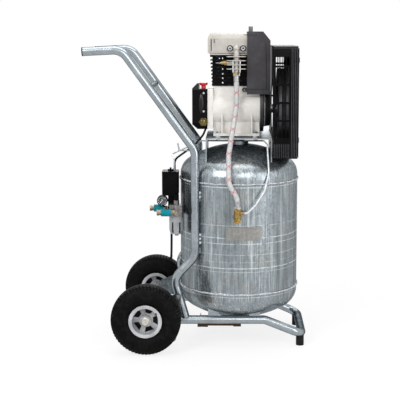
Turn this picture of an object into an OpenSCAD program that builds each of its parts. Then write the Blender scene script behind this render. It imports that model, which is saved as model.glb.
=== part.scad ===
// Wheelbarrow air compressor: an upright air tank on a bent tube frame with two wheels,
// carrying a belt-driven twin-cylinder pump, its motor, and the air and electric controls.
// X runs forward from the handle, Y to the left, Z up from the floor.

/* [Tank] */
// Outside diameter of the tank
tank_d = 450; // [420:1:480]
// Plate thickness of the shell and heads
tank_wall = 3; // [2:0.5:5]
// Length of the rolled shell between the two heads
shell_len = 412.5; // [380:0.5:480]
// Height of the shell's lower edge over the floor
shell_z = 212; // [205:1:225]
// Straight flange of each head
head_flange = 15.5; // [10:0.5:25]

/* [Frame] */
// Outside diameter of the frame tubes
tube_d = 32; // [28:1:34]
// Wall of the frame tubes
tube_wall = 2; // [1.5:0.5:4]
// Bend radius of the handle tubes at their centre line
bend_r = 60; // [50:1:75]
// Height of the handle's rear ends
handle_z = 1106; // [1050:1:1180]
// Distance from the tank's axis to the handle's rear ends
handle_reach = 568; // [520:1:640]
// Height of the base tube beside the wheels
base_z = 104; // [100:1:110]
// Distance from the tank's axis to the front cross tube's centre line
front_reach = 239; // [225:1:300]
// Height of the rubber feet
foot_h = 32; // [24:1:40]

/* [Wheels] */
// Diameter of the tyres
tyre_d = 260; // [250:1:270]
// Width of the tyres
tyre_w = 85; // [76:1:90]
// Diameter of the rims at their outer flange
rim_d = 122; // [110:1:130]
// Distance between the wheels' middle planes
track = 520; // [510:1:560]
// Diameter of the axle
axle_d = 20; // [16:1:25]
// Distance from the tank's axis back to the axle
axle_reach = 341; // [335:1:360]
// Radial running clearance of every shaft in its bore
running_gap = 0.05; // [0.02:0.01:0.1]

/* [Platform] */
// Height of the platform's top face
deck_z = 787; // [785:1:800]
// Thickness of the platform's plate
deck_t = 4; // [3:0.5:6]
// Length of the platform along X
deck_len = 246; // [240:1:250]

/* [Pump] */
// Height of the crankshaft's axis over the platform
crank_h = 106; // [105:1:112]
// Throw of the crank pins
crank_throw = 18; // [14:1:20]
// Bore of the cylinders
bore_d = 65; // [60:0.5:68]
// Distance between the two cylinders
bore_pitch = 96; // [90:1:100]
// Number of cooling fins on the cylinder block
block_fins = 8; // [5:1:9]
// Height of the cylinder block
block_h = 115; // [113:1:118]

/* [Belt drive] */
// Diameter of the flywheel
flywheel_d = 300; // [280:1:310]
// Pitch diameter of the motor pulley
pulley_pitch_d = 96.667; // [90:0.001:110]
// Width of the belt
belt_w = 13; // [10:0.5:17]
// Thickness of the belt
belt_t = 8; // [6:0.5:9]
// Height of the motor's shaft over the platform
motor_h = 90; // [90:1:100]
// Distance from the pump's axis back to the motor's axis
motor_offset = 215; // [205:1:225]
// Length of the belt guard along Y
guard_len = 465; // [455:1:480]
// Height of the belt guard
guard_h = 413; // [400:1:430]
// Wall of the belt guard
guard_wall = 3; // [2:0.5:4]

/* [Air line] */
// Diameter of the discharge hose
hose_d = 19; // [16:0.5:22]
// Diameter of the unloader tube
unloader_d = 6; // [4:0.5:8]
// Diameter of the quick couplings' sleeves
sleeve_d = 28; // [24:0.5:28]
// Travel of the quick couplings' sleeves
sleeve_travel = 6; // [4:0.5:8]
// Diameter of the pressure gauge
gauge_d = 40; // [36:1:40]
// Diameter of the filter's bowl guard
bowl_d = 56; // [46:1:58]

/* [Electric] */
// Height of the pressure switch's cover
switch_h = 88; // [70:1:100]
// Diameter of the mains cord
cord_d = 9; // [7:0.5:10]
// Diameter of the motor's cable
cable_d = 8; // [6:0.5:9]

/* [Hidden] */
$fn = 64;

// ---- Places that several pieces share ----
tank_r = tank_d / 2;
tube_r = tube_d / 2;
shell_top = shell_z + shell_len;
// Dished heads with a crown radius of 0.8 and a knuckle radius of 0.154 diameters.
crown_r = 0.8 * tank_d;
knuckle_r = 0.154 * tank_d;
crown_drop = sqrt(pow(crown_r - knuckle_r, 2) - pow(tank_r - knuckle_r, 2));
upper_flange_z = shell_top + head_flange;
lower_flange_z = shell_z - head_flange;
tank_top = upper_flange_z - crown_drop + crown_r;
tank_bottom = lower_flange_z + crown_drop - crown_r;

// The side tubes stand tangent to the tank, behind its middle.
tube_x = -162;
weld_gap = 0.3;
tube_y = sqrt(pow(tank_r + tube_r + weld_gap, 2) - tube_x * tube_x);
base_y = tube_y - 8;
front_y = tube_y - 22;
front_z = foot_h + tube_r - 2;
wheel_r = tyre_d / 2;
wheel_y = track / 2;
hub_half = 32;
axle_half = wheel_y + hub_half + 6;
// The overall length sets where the origin lies, in the middle of the outline on the floor.
mid_x = (front_reach + tube_r - handle_reach) / 2;

deck_x0 = -124;
deck_x1 = deck_x0 + deck_len;
deck_y0 = -150;
deck_y1 = 265;
leg_y1 = 150;

pump_y = -30;
crank_z = deck_z + crank_h;
pad_t = 5;
case_x0 = -98;
case_x1 = 78;
case_top = crank_z + 85;
pump_x = (case_x0 + case_x1) / 2 + 1;
block_x = [for (s = [-1, 1]) pump_x + s * bore_pitch / 2];
block_top = case_top + block_h;
plate_t = 6;
head_z = block_top + plate_t;
journal_d = 30;
crank_end_d = 25;
web_d = 96;
web_t = 12;
pin_d = 28;
pump_feet = [for (x = [-78, 61], y = [-67, 67]) [x, pump_y + y]];
cover_x0 = -175;
flange_x0 = -118;
cover_half_y = 75;
oil_x = -133;
oil_seat_z = crank_z + 75;
sight_z = crank_z - 48;
cover_screws = [for (y = [-58, 58], z = [-60, 60]) [pump_y + y, crank_z + 9 + z]];
pipe_x = -10;
pipe_y = -125;
pipe_d = 22;
safety_z = head_z - 36;
stud_x = 43;

belt_x = deck_x1 + 43;
motor_y = pump_y + motor_offset;
motor_z = deck_z + motor_h;
motor_x0 = -110;
motor_x1 = 70;
motor_r = 72;
shaft_d = 24;
motor_feet = [for (x = [-60, 40], y = [-70, 70]) [x, motor_y + y]];
flywheel_r = flywheel_d / 2;
// The belt's middle runs at the two pitch radii, whose ratio is the drive's ratio.
belt_pitch_r = flywheel_r - 5;
pulley_pitch_r = pulley_pitch_d / 2;
belt_gap = 0.5;
guard_x0 = deck_x1 + 2;
guard_split = guard_x0 + 61;
guard_x1 = guard_x0 + 90;
guard_y0 = pump_y - flywheel_r - 25;
guard_y1 = guard_y0 + guard_len;
guard_z0 = crank_z - 179;
guard_z1 = guard_z0 + guard_h;
guard_seats = [for (y = [-110, 120]) [y, deck_z - 22]];
guard_bars = [for (k = [0 : 4]) crank_z - 101 + 65.5 * k];

valve_at = [-6, -tank_r - 24, 506];
switch_at = [-259, -70];
manifold_z = 507;
switch_z = 569;
switch_top = switch_z + switch_h;
regulator_at = [-234, -125];
coupling_z = 512;
right_sleeve_at = [-289, regulator_at.y - 44];
left_sleeve_at = [-323, -65];
gauge_at = [-290, -82, 545];
needle_y = gauge_at.y - 13;
drain_z = 40;
drain_x = -141;
drain_stem_top = drain_z + 30;

// Routes, from one end to the other, in the tank's frame.
HANDLE_ROUTE = [[-handle_reach, handle_z], [-428, handle_z + 7], [tube_x, 745], [tube_x, 350],
    [-243, 262], [-200, base_z + 10]];
HOSE_ROUTE = [[pipe_x, pipe_y, head_z - 72], [pipe_x, pipe_y, 905], [-38, -206, 730],
    [-37, -247, 630], [valve_at.x, valve_at.y, 580], [valve_at.x, valve_at.y, 541]];
UNLOADER_ROUTE = [[12, valve_at.y, 524], [30, valve_at.y, 524], [60, -240, 552],
    [94, -222, 604], [109, -196, 668], [104, -162, 766], [100, 156, 748], [-150, 156, 748], [-262, 60, 705],
    [-247, -56, 698], [-247, -56, switch_top - 1]];
CABLE_ROUTE = [[-40, motor_y - 32, 985], [-40, 76, 985], [-110, 76, 850], [-140, 40, 780],
    [-172, 10, 745], [-248, 10, 690], [-248, 10, 612], [-248, -35, 612]];
CORD_ROUTE = [[-266, -36, 590], [-266, -5, 590], [-266, 15, 585], [-265, 29, 571], [-264, 35, 550],
    [-264, 37, 505], [-264, 45, 455], [-265, 62, 400], [-267, 88, 345], [-270, 124, 298],
    [-274, 168, 268], [-277, 214, 256], [-279, 256, 254], [-280, 290, 250], [-283, 315, 231],
    [-285, 328, 198], [-287, 334, 160], [-289, 336, 120], [-291, 338, 82], [-294, 340, 56],
    [-301, 342, 35], [-313, 344, 21], [-328, 346, 14]];
// The mains cord ends in a flat coil on the floor behind the left wheel, with its plug beside it.
coil_at = [-341, 405];
coil_r = 50;
coil_w = 28;
coil_h = 19;
plug_d = 38;

// ---- Geometry helpers ----
function unit(v) = v / norm(v);
function at_height(p, y) = [p.x, y, p.y];
function turn_at(p, i) = acos(unit(p[i] - p[i - 1]) * unit(p[i + 1] - p[i]));
function bend_room(p, r, i) = i == 0 || i == len(p) - 1 ? 0 : r * tan(turn_at(p, i) / 2);
function corner(cx, cy, r, a) = [for (k = [0 : 4]) [cx + r * cos(a + 22.5 * k), cy + r * sin(a + 22.5 * k)]];
function soft_outline(x0, y0, x1, y1, r) = concat(corner(x1 - r, y1 - r, r, 0),
    corner(x0 + r, y1 - r, r, 90), corner(x0 + r, y0 + r, r, 180), corner(x1 - r, y0 + r, r, 270));

module in_frame() translate([-mid_x, 0, 0]) children();

module axes(u, v, w, o)
    multmatrix([[u.x, v.x, w.x, o.x], [u.y, v.y, w.y, o.y], [u.z, v.z, w.z, o.z], [0, 0, 0, 1]])
        children();

// Carries what is drawn along +Z onto the line from a to b.
module along(a, b) {
    d = unit(b - a);
    s = abs(d.z) < 0.9 ? [0, 0, 1] : [1, 0, 0];
    u = unit(cross(s, d));
    axes(u, cross(d, u), d, a) children();
}

module rod(a, b, d) along(a, b) cylinder(d = d, h = norm(b - a));

module cone(a, b, d1, d2) along(a, b) cylinder(d1 = d1, d2 = d2, h = norm(b - a));

module hex(a, b, d) along(a, b) cylinder(d = d, h = norm(b - a), $fn = 6);

module ring(d, w) difference() {
    circle(d = d);
    if (w > 0) circle(d = d - 2 * w);
}

// A tube along a route: straight lengths that reach a millimetre into slightly fuller elbows.
module bent_tube(p, r, d, w = 0) {
    for (i = [1 : len(p) - 1]) {
        e = unit(p[i] - p[i - 1]);
        a = p[i - 1] + e * max(bend_room(p, r, i - 1) - 1, 0);
        b = p[i] - e * max(bend_room(p, r, i) - 1, 0);
        along(a, b) linear_extrude(norm(b - a)) ring(d, w);
    }
    for (i = [1 : len(p) - 2]) {
        e = unit(p[i] - p[i - 1]);
        f = unit(p[i + 1] - p[i]);
        n = unit(f - e * (e * f));
        axes(-n, e, cross(-n, e), p[i] - e * bend_room(p, r, i) + n * r)
            rotate_extrude(angle = turn_at(p, i)) translate([r, 0]) ring(d + 0.1, w);
    }
}

// Extrudes a drawing made in X and Z along Y, from y0 to y1.
module slab_y(y0, y1) translate([0, y1, 0]) rotate([90, 0, 0]) linear_extrude(y1 - y0) children();

// Extrudes a drawing made in Y and Z along X, from x0 to x1.
module slab_x(x0, x1) axes([0, 1, 0], [0, 0, 1], [1, 0, 0], [x0, 0, 0]) linear_extrude(x1 - x0) children();

module block(a, b) translate(a) cube(b - a);

// The outline around two circles and their common tangents.
module tangent_link(c1, r1, c2, r2) {
    a = atan2(c2.y - c1.y, c2.x - c1.x);
    t = acos((r1 - r2) / norm(c2 - c1));
    up = [cos(a + t), sin(a + t)];
    down = [cos(a - t), sin(a - t)];
    polygon([c1 + r1 * up, c1 + r1 * down, c2 + r2 * down, c2 + r2 * up]);
    translate(c1) circle(r1);
    translate(c2) circle(r2);
}

module mirrored_y() {
    children();
    mirror([0, 1, 0]) children();
}

// A hexagon bolt whose head's seat is at p and whose shank runs along d for a length.
module bolt(p, d, size, length) {
    hex(p - d * size * 0.65, p, size * 1.9);
    rod(p - d * 0.1, p + d * length, size);
}

// ---- Tank ----
// Half section of a dished head's outline, thinned by t, with its straight flange below.
module head_section(t) {
    r = tank_r - t;
    x = (tank_r - knuckle_r) * crown_r / (crown_r - knuckle_r);
    join = tank_r - knuckle_r + (knuckle_r - t) * (tank_r - knuckle_r) / (crown_r - knuckle_r);
    intersection() {
        translate([0, -crown_drop]) circle(crown_r - t, $fn = 180);
        square([join, crown_r]);
    }
    intersection() {
        translate([tank_r - knuckle_r, 0]) circle(knuckle_r - t, $fn = 180);
        translate([join, 0]) square([r - join + 1, crown_r]);
    }
    translate([0, -head_flange]) square([r, head_flange]);
}

module upper_dome(grow = 0) translate([0, 0, upper_flange_z])
    rotate_extrude($fn = 180) head_section(-grow);

module lower_dome(grow = 0) translate([0, 0, lower_flange_z]) mirror([0, 0, 1])
    rotate_extrude($fn = 180) head_section(-grow);

module head_shell() rotate_extrude($fn = 180) difference() {
    head_section(0);
    translate([0, -1]) head_section(tank_wall);
    translate([-1, -head_flange - 1]) square([tank_r - tank_wall + 1, 1.5]);
}

module weld_bead() rotate_extrude($fn = 180)
    translate([tank_r - 1, 0]) polygon([[0, 0], [2.6, 0], [3, 1.2], [3, 3.8], [2.6, 5], [0, 6]]);

module tank_shell() in_frame() color("slategray") difference() {
    union() {
        translate([0, 0, shell_z]) cylinder(r = tank_r, h = shell_len, $fn = 180);
        translate([0, 0, shell_z]) weld_bead();
        translate([0, 0, shell_top]) mirror([0, 0, 1]) weld_bead();
        rod([valve_at.x, -tank_r + 8, valve_at.z], [valve_at.x, -tank_r - 4, valve_at.z], 36);
        rod([-tank_r + 14, -62, manifold_z], [-tank_r - 1, -62, manifold_z], 36);
    }
    translate([0, 0, shell_z - 1]) cylinder(r = tank_r - tank_wall, h = shell_len + 2, $fn = 180);
    rod([valve_at.x, -tank_r + 20, valve_at.z], [valve_at.x, -tank_r - 5, valve_at.z], 21);
    rod([-tank_r + 30, -62, manifold_z], [-tank_r - 2, -62, manifold_z], 21);
    for (y = [-tube_y, tube_y])
        rod([tube_x, y, shell_top - 8], [tube_x, y, shell_top + 1], tube_d + 0.4);
}

module tank_heads() in_frame() color("slategray") {
    translate([0, 0, upper_flange_z]) head_shell();
    difference() {
        union() {
            translate([0, 0, lower_flange_z]) mirror([0, 0, 1]) head_shell();
            rod([0, 0, tank_bottom + 4], [0, 0, tank_bottom - 8], 40);
        }
        rod([0, 0, tank_bottom + 9], [0, 0, tank_bottom - 9], 21);
        rod([0, 0, tank_bottom + tank_wall], [0, 0, tank_bottom + 9], 50);
    }
    difference() {
        union() {
            rod([0, 0, tank_top - 3], [0, 0, tank_top + 10], 72);
            hex([0, 0, tank_top + 10], [0, 0, tank_top + 18], 46);
        }
        upper_dome();
    }
}

// ---- Frame ----
module side_tube_solid(w = 0) {
    lean = [tube_y, tube_y, tube_y, tube_y, base_y, base_y];
    route = [for (i = [0 : 5]) [HANDLE_ROUTE[i].x, -lean[i], HANDLE_ROUTE[i].y]];
    bent_tube(route, bend_r, tube_d, w);
}

module base_tube_solid(w = 0) {
    half = [[-300, -base_y, base_z], [98, -base_y + 6, base_z], [front_reach, -front_y, front_z]];
    bent_tube(concat(half, [for (i = [2 : -1 : 0]) [half[i].x, -half[i].y, half[i].z]]), 42, tube_d, w);
}

module side_tube() {
    spot = [tube_x, -tube_y] * (tank_r / (tank_r + tube_r));
    side = unit([-tube_y, -tube_x]);
    difference() {
        side_tube_solid(tube_wall);
        rod([-300, -base_y, base_z], [98, -base_y + 6, base_z], tube_d);
    }
    rod([tube_x - tube_r - 2, -tube_y, 745], [-221, -tube_y, 746], 5);
    rod([-219, -tube_y, 743], [-225, -tube_y, 772], 5.4);
    for (z = [360, 555, 570], s = [-1, 1])
        translate([spot.x + s * side.x * 8, spot.y + s * side.y * 8, z]) difference() {
            cylinder(d = 7, h = 22);
            translate([-spot.x - s * side.x * 8, -spot.y - s * side.y * 8, -1])
                cylinder(r = tank_r, h = 24, $fn = 180);
        }
}

module right_side_tube() in_frame() color("lightslategray") side_tube();

module left_side_tube() in_frame() color("lightslategray") mirror([0, 1, 0]) side_tube();

module handle_cross_bar() in_frame() color("lightslategray") difference() {
    rod([-330, -tube_y, 977], [-330, tube_y, 977], 20);
    mirrored_y() rod([-428, -tube_y, handle_z + 7], [tube_x, -tube_y, 745], tube_d);
    rod([-330, -tube_y - 1, 977], [-330, tube_y + 1, 977], 16);
}

module base_tube() in_frame() color("lightslategray") {
    base_tube_solid(tube_wall);
    mirrored_y() for (x = [-95, 60]) difference() {
        block([x - 20, -base_y + 1, base_z + 6], [x + 20, -base_y + 8, base_z + 60]);
        lower_dome();
        rod([-300, -base_y, base_z], [98, -base_y + 6, base_z], tube_d - 1);
    }
}

module grip_end_plugs() in_frame() color("black") mirrored_y() {
    rear = at_height(HANDLE_ROUTE[0], -tube_y);
    e = unit(rear - at_height(HANDLE_ROUTE[1], -tube_y));
    rod(rear, rear + 4 * e, tube_d + 1);
    rod(rear, rear - 14 * e, tube_d - 2 * tube_wall - 3);
}

module rubber_feet() in_frame() color("black") mirrored_y() difference() {
    rod([front_reach - 6, -front_y + 18, 0], [front_reach - 6, -front_y + 18, front_z], 30);
    base_tube_solid();
}

module axle_plate_outline() {
    axle_c = [-axle_reach, wheel_r];
    tube_c = [-228, 196];
    low_c = [-248, 38];
    tangent_link(axle_c, 24, tube_c, 14);
    tangent_link(axle_c, 24, low_c, 14);
    tangent_link(tube_c, 14, low_c, 14);
    polygon([axle_c, tube_c, low_c]);
}

module axle_plates() in_frame() color("lightslategray") mirrored_y() difference() {
    slab_y(-base_y - tube_r - 5, -base_y - tube_r) axle_plate_outline();
    rod([-axle_reach, -wheel_y, wheel_r], [-axle_reach, 0, wheel_r], axle_d);
    rod([-228, -wheel_y, 196], [-228, 0, 196], 8.4);
}

module axle() in_frame() color("silver")
    rod([-axle_reach, -axle_half, wheel_r], [-axle_reach, axle_half, wheel_r], axle_d);

module hub_caps() in_frame() color("goldenrod") mirrored_y() difference() {
    union() {
        rod([-axle_reach, -wheel_y - hub_half - 2, wheel_r], [-axle_reach, -axle_half, wheel_r], 34);
        cone([-axle_reach, -axle_half, wheel_r], [-axle_reach, -axle_half - 5, wheel_r], 34, 24);
    }
    rod([-axle_reach, -wheel_y, wheel_r], [-axle_reach, -axle_half, wheel_r], axle_d);
}

// ---- Wheels, turned about their own axle ----
module tyre_section() {
    bead = rim_d / 2 - 4;
    difference() {
        union() {
            translate([wheel_r - tyre_w / 2, 0]) circle(d = tyre_w, $fn = 120);
            translate([bead, -tyre_w / 2 + 9]) square([wheel_r - tyre_w / 2 - bead, tyre_w - 18]);
            translate([wheel_r - 16, -28]) square([13, 56]);
        }
        translate([wheel_r - tyre_w / 2, 0]) circle(d = tyre_w - 18, $fn = 120);
        translate([0, -tyre_w / 2 + 19]) square([wheel_r - tyre_w / 2, tyre_w - 38]);
        translate([0, -tyre_w]) square([bead, 2 * tyre_w]);
        translate([wheel_r - 6, -2]) square([10, 4]);
    }
}

module tyre() rotate([90, 0, 0]) rotate_extrude($fn = 180) tyre_section();

module rim() {
    half = tyre_w / 2 - 19;
    lip = tyre_w / 2 - 9;
    r = rim_d / 2;
    rotate([90, 0, 0]) difference() {
        union() {
            rotate_extrude($fn = 120) polygon([[r - 12, -lip - 5], [r, -lip - 5], [r, -lip], [r - 4, -lip],
                [r - 4, -half], [r - 7, -half], [r - 7, half], [r - 4, half], [r - 4, lip], [r, lip],
                [r, lip + 5], [r - 12, lip + 5], [r - 12, 8], [r - 14, 8], [r - 14, -8], [r - 12, -8]]);
            cylinder(d = 2 * r - 20, h = 16, center = true);
            cylinder(d = axle_d + 20, h = 2 * hub_half, center = true);
        }
        cylinder(d = axle_d + 2 * running_gap, h = 2 * hub_half + 2, center = true);
        for (k = [0 : 4]) rotate(72 * k) translate([0, 0, -9]) linear_extrude(18)
            polygon([[26, -9], [r - 17, -19], [r - 17, 19], [26, 9]]);
    }
}

module at_wheel(side) translate([-axle_reach, side * wheel_y, wheel_r]) children();

module right_tyre() in_frame() color("black") at_wheel(-1) tyre();

module right_rim() in_frame() color("lightgray") at_wheel(-1) rim();

module left_tyre() in_frame() color("black") at_wheel(1) tyre();

module left_rim() in_frame() color("lightgray") at_wheel(1) rim();

// ---- Drain, under the tank's lowest point ----
module drain_valve() in_frame() color("peru") difference() {
    union() {
        rod([0, 0, tank_bottom - 8], [0, 0, drain_z], 20);
        hex([0, 0, tank_bottom - 8], [0, 0, tank_bottom - 16], 30);
        rod([-20, 0, drain_z], [10, 0, drain_z], 21);
        rod([drain_x + 20, 0, drain_z], [-19, 0, drain_z], 15);
        hex([drain_x - 20, 0, drain_z], [drain_x - 8, 0, drain_z], 26);
        rod([drain_x - 9, 0, drain_z], [drain_x + 10, 0, drain_z], 25);
        hex([drain_x + 9, 0, drain_z], [drain_x + 21, 0, drain_z], 26);
        rod([drain_x, 0, drain_z], [drain_x, 0, drain_stem_top - 10], 13);
    }
    rod([drain_x - 21, 0, drain_z], [drain_x - 6, 0, drain_z], 12);
    rod([drain_x, 0, drain_z + 14], [drain_x, 0, drain_stem_top], 8 + 2 * running_gap);
}

module drain_lever() in_frame() color("darkred") {
    rod([drain_x, 0, drain_z + 15], [drain_x, 0, drain_stem_top + 4], 8);
    block([drain_x - 6, -7, drain_stem_top], [drain_x + 34, 7, drain_stem_top + 3]);
    block([drain_x - 9, -7, drain_stem_top], [drain_x - 6, 7, drain_stem_top + 12]);
}

// ---- Platform ----
module platform() in_frame() color("slategray") difference() {
    union() {
        block([deck_x0, deck_y0, deck_z - deck_t], [deck_x1, deck_y1, deck_z]);
        for (x = [deck_x0, deck_x1 - deck_t]) {
            block([x, deck_y0, upper_flange_z + 30], [x + deck_t, leg_y1, deck_z - 1]);
            block([x, leg_y1 - 1, deck_z - 32], [x + deck_t, deck_y1, deck_z - 1]);
        }
    }
    upper_dome();
    for (p = pump_feet) rod([p.x, p.y, deck_z - 10], [p.x, p.y, deck_z + 1], 10.4);
    for (p = motor_feet) {
        rod([p.x, p.y, deck_z - 10], [p.x, p.y, deck_z + 1], 8.4);
        block([p.x - 4.2, p.y - 8, deck_z - 10], [p.x + 4.2, p.y, deck_z + 1]);
    }
    for (s = guard_seats) rod([deck_x1 - 10, s.x, s.y], [deck_x1 + 1, s.x, s.y], 6.4);
}

// ---- Pump ----
module cover_outline(inset = 0) {
    y0 = pump_y - cover_half_y + inset;
    y1 = pump_y + cover_half_y - inset;
    z0 = crank_z - 77 + inset;
    z1 = crank_z + 95 - inset;
    polygon([[y0 + 24, z0], [y1 - 24, z0], [y1, z0 + 24], [y1, z1 - 24], [y1 - 24, z1],
        [y0 + 24, z1], [y0, z1 - 24], [y0, z0 + 24]]);
}

module crankcase_body() {
    rod([case_x0, pump_y, crank_z], [case_x1, pump_y, crank_z], 150);
    block([case_x0 + 2, pump_y - 57, crank_z], [case_x1 - 2, pump_y + 57, case_top]);
    block([case_x0 + 2, pump_y - 56, deck_z + pad_t + 9], [case_x1 - 2, pump_y + 56, crank_z - 40]);
    block([case_x0 + 2, pump_y - 76, deck_z + pad_t], [case_x1 - 2, pump_y + 76, deck_z + pad_t + 10]);
    block([flange_x0, pump_y - 72, crank_z - 74], [case_x0 + 1, pump_y + 72, crank_z + 74]);
    rod([case_x1 - 1, pump_y, crank_z], [case_x1 + 19, pump_y, crank_z], 142);
    for (x = [-64, 47], s = [-1, 1]) slab_x(x - 2.5, x + 2.5)
        polygon([[pump_y + s * 50, deck_z + pad_t + 9], [pump_y + s * 76, deck_z + pad_t + 9],
            [pump_y + s * 74, crank_z - 12], [pump_y + s * 50, crank_z - 12]]);
    rod([19, pump_y - 79, crank_z + 72], [19, pump_y - 50, crank_z + 72], 12);
}

module crankcase() in_frame() color("gainsboro") difference() {
    crankcase_body();
    rod([flange_x0 - 1, pump_y, crank_z], [case_x1 - 8, pump_y, crank_z], 132);
    rod([case_x1 - 9, pump_y, crank_z], [case_x1 + 20, pump_y, crank_z], journal_d + 2 * running_gap);
    for (x = block_x) rod([x, pump_y, crank_z], [x, pump_y, case_top + 1], bore_d + 1);
    for (p = pump_feet) rod([p.x, p.y, deck_z], [p.x, p.y, deck_z + 40], 10.4);
    for (c = cover_screws) rod([flange_x0 - 1, c.x, c.y], [flange_x0 + 12, c.x, c.y], 6.2);
    difference() {
        rod([pump_x - 4, pump_y, crank_z], [pump_x + 4, pump_y, crank_z], 160);
        rod([pump_x - 5, pump_y, crank_z], [pump_x + 5, pump_y, crank_z], 143);
        block([pump_x - 5, pump_y - 57, crank_z], [pump_x + 5, pump_y + 57, case_top]);
        block([pump_x - 5, pump_y - 56, deck_z], [pump_x + 5, pump_y + 56, crank_z - 40]);
    }
}

module end_cover() in_frame() color("black") difference() {
    union() {
        difference() {
            intersection() {
                slab_x(cover_x0, flange_x0) cover_outline();
                slab_y(pump_y - 80, pump_y + 80) polygon([[cover_x0 + 20, crank_z - 78],
                    [flange_x0, crank_z - 78], [flange_x0, oil_seat_z], [flange_x0 - 32, oil_seat_z],
                    [flange_x0 - 32, crank_z + 96], [cover_x0 + 20, crank_z + 96],
                    [cover_x0, crank_z + 76], [cover_x0, crank_z - 58]]);
            }
            rod([cover_x0 + 9, pump_y, crank_z], [flange_x0 + 1, pump_y, crank_z], 112);
        }
        rod([cover_x0 + 8, pump_y, crank_z], [flange_x0 - 6, pump_y, crank_z], 48);
    }
    rod([cover_x0 + 14, pump_y, crank_z], [flange_x0 + 1, pump_y, crank_z], journal_d + 2 * running_gap);
    rod([oil_x, pump_y - 45, oil_seat_z - 13], [oil_x, pump_y - 45, oil_seat_z + 1], 12 + 2 * running_gap);
    rod([oil_x, pump_y - cover_half_y - 1, sight_z], [oil_x, pump_y - cover_half_y + 10, sight_z], 21);
    for (c = cover_screws) rod([cover_x0 - 1, c.x, c.y], [flange_x0 + 1, c.x, c.y], 6.2);
    for (c = cover_screws) rod([cover_x0 - 1, c.x, c.y], [flange_x0 - 14, c.x, c.y], 14);
}

module oil_plug() in_frame() color("crimson") {
    rod([oil_x, pump_y - 45, oil_seat_z - 12], [oil_x, pump_y - 45, oil_seat_z + 1], 12);
    rod([oil_x, pump_y - 45, oil_seat_z], [oil_x, pump_y - 45, oil_seat_z + 13], 17);
    cone([oil_x, pump_y - 45, oil_seat_z + 12], [oil_x, pump_y - 45, oil_seat_z + 16], 26, 31);
    rod([oil_x, pump_y - 45, oil_seat_z + 16], [oil_x, pump_y - 45, oil_seat_z + 22], 31);
}

module oil_sight_glass() in_frame() color("goldenrod") {
    face = pump_y - cover_half_y;
    rod([oil_x, face + 9, sight_z], [oil_x, face, sight_z], 20.9);
    hex([oil_x, face - 5, sight_z], [oil_x, face, sight_z], 34);
    rod([oil_x, face - 8, sight_z], [oil_x, face - 5, sight_z], 26);
}

module cylinder_block() in_frame() color("black") difference() {
    pitch = (block_h - 8) / block_fins;
    union() {
        block([case_x0 - 2, pump_y - 57, case_top], [case_x1 + 4, pump_y + 57, block_top]);
        for (k = [0 : block_fins]) block([case_x0 - 4 - k * 0.8, pump_y - 62 - k * 0.4, case_top + k * pitch],
            [case_x1 + 6 + k * 0.8, pump_y + 62 + k * 0.4,
                case_top + k * pitch + (k % block_fins == 0 ? 8 : 4.5)]);
    }
    for (x = block_x) rod([x, pump_y, case_top - 1], [x, pump_y, block_top + 1], bore_d);
}

module valve_plate() in_frame() color("silver")
    block([case_x0 - 12, pump_y - 66, block_top], [case_x1 + 13, pump_y + 66, head_z]);

// A block rounded over its upper edges along X and along Y, with its foot at head_z.
module head_block(x0, x1, half_y, top, r) intersection() {
    slab_y(pump_y - half_y, pump_y + half_y) polygon(soft_outline(x0, head_z - 2 * r, x1, top, r));
    slab_x(x0, x1) polygon(soft_outline(pump_y - half_y, head_z - 2 * r, pump_y + half_y, top, r));
    block([x0, pump_y - half_y, head_z], [x1, pump_y + half_y, top]);
}

module cylinder_head() in_frame() color("silver") difference() {
    union() {
        head_block(-117, case_x1 + 13, 66, head_z + 74, 20);
        intersection() {
            head_block(-119, case_x1 + 13, 68, head_z + 76, 21);
            for (k = [0 : 4])
                block([-111 + 9 * k, pump_y - 70, head_z], [-107.5 + 9 * k, pump_y + 70, head_z + 80]);
        }
        rod([stud_x, pump_y, head_z + 60], [stud_x, pump_y, head_z + 76], 26);
    }
    for (x = [pipe_x - 24, pipe_x + 24])
        rod([x, pump_y - 67, head_z + 18], [x, pump_y - 50, head_z + 18], 8.2);
    rod([pipe_x, pump_y - 67, head_z + 18], [pipe_x, pump_y - 45, head_z + 18], 14);
}

module crankshaft() in_frame() color("silver") {
    throw_z = crank_z + crank_throw;
    first = block_x[0];
    last = block_x[1];
    rod([cover_x0 + 16, pump_y, crank_z], [first - 20, pump_y, crank_z], journal_d);
    for (x = block_x) {
        for (s = [-1, 1]) rod([x + s * 9, pump_y, crank_z], [x + s * (9 + web_t), pump_y, crank_z], web_d);
        rod([x - 10, pump_y, throw_z], [x + 10, pump_y, throw_z], pin_d);
    }
    rod([first + 20, pump_y, crank_z], [last - 20, pump_y, crank_z], 34);
    rod([last + 20, pump_y, crank_z], [belt_x - 27, pump_y, crank_z], journal_d);
    rod([belt_x - 28, pump_y, crank_z], [belt_x + 26, pump_y, crank_z], crank_end_d);
}

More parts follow.
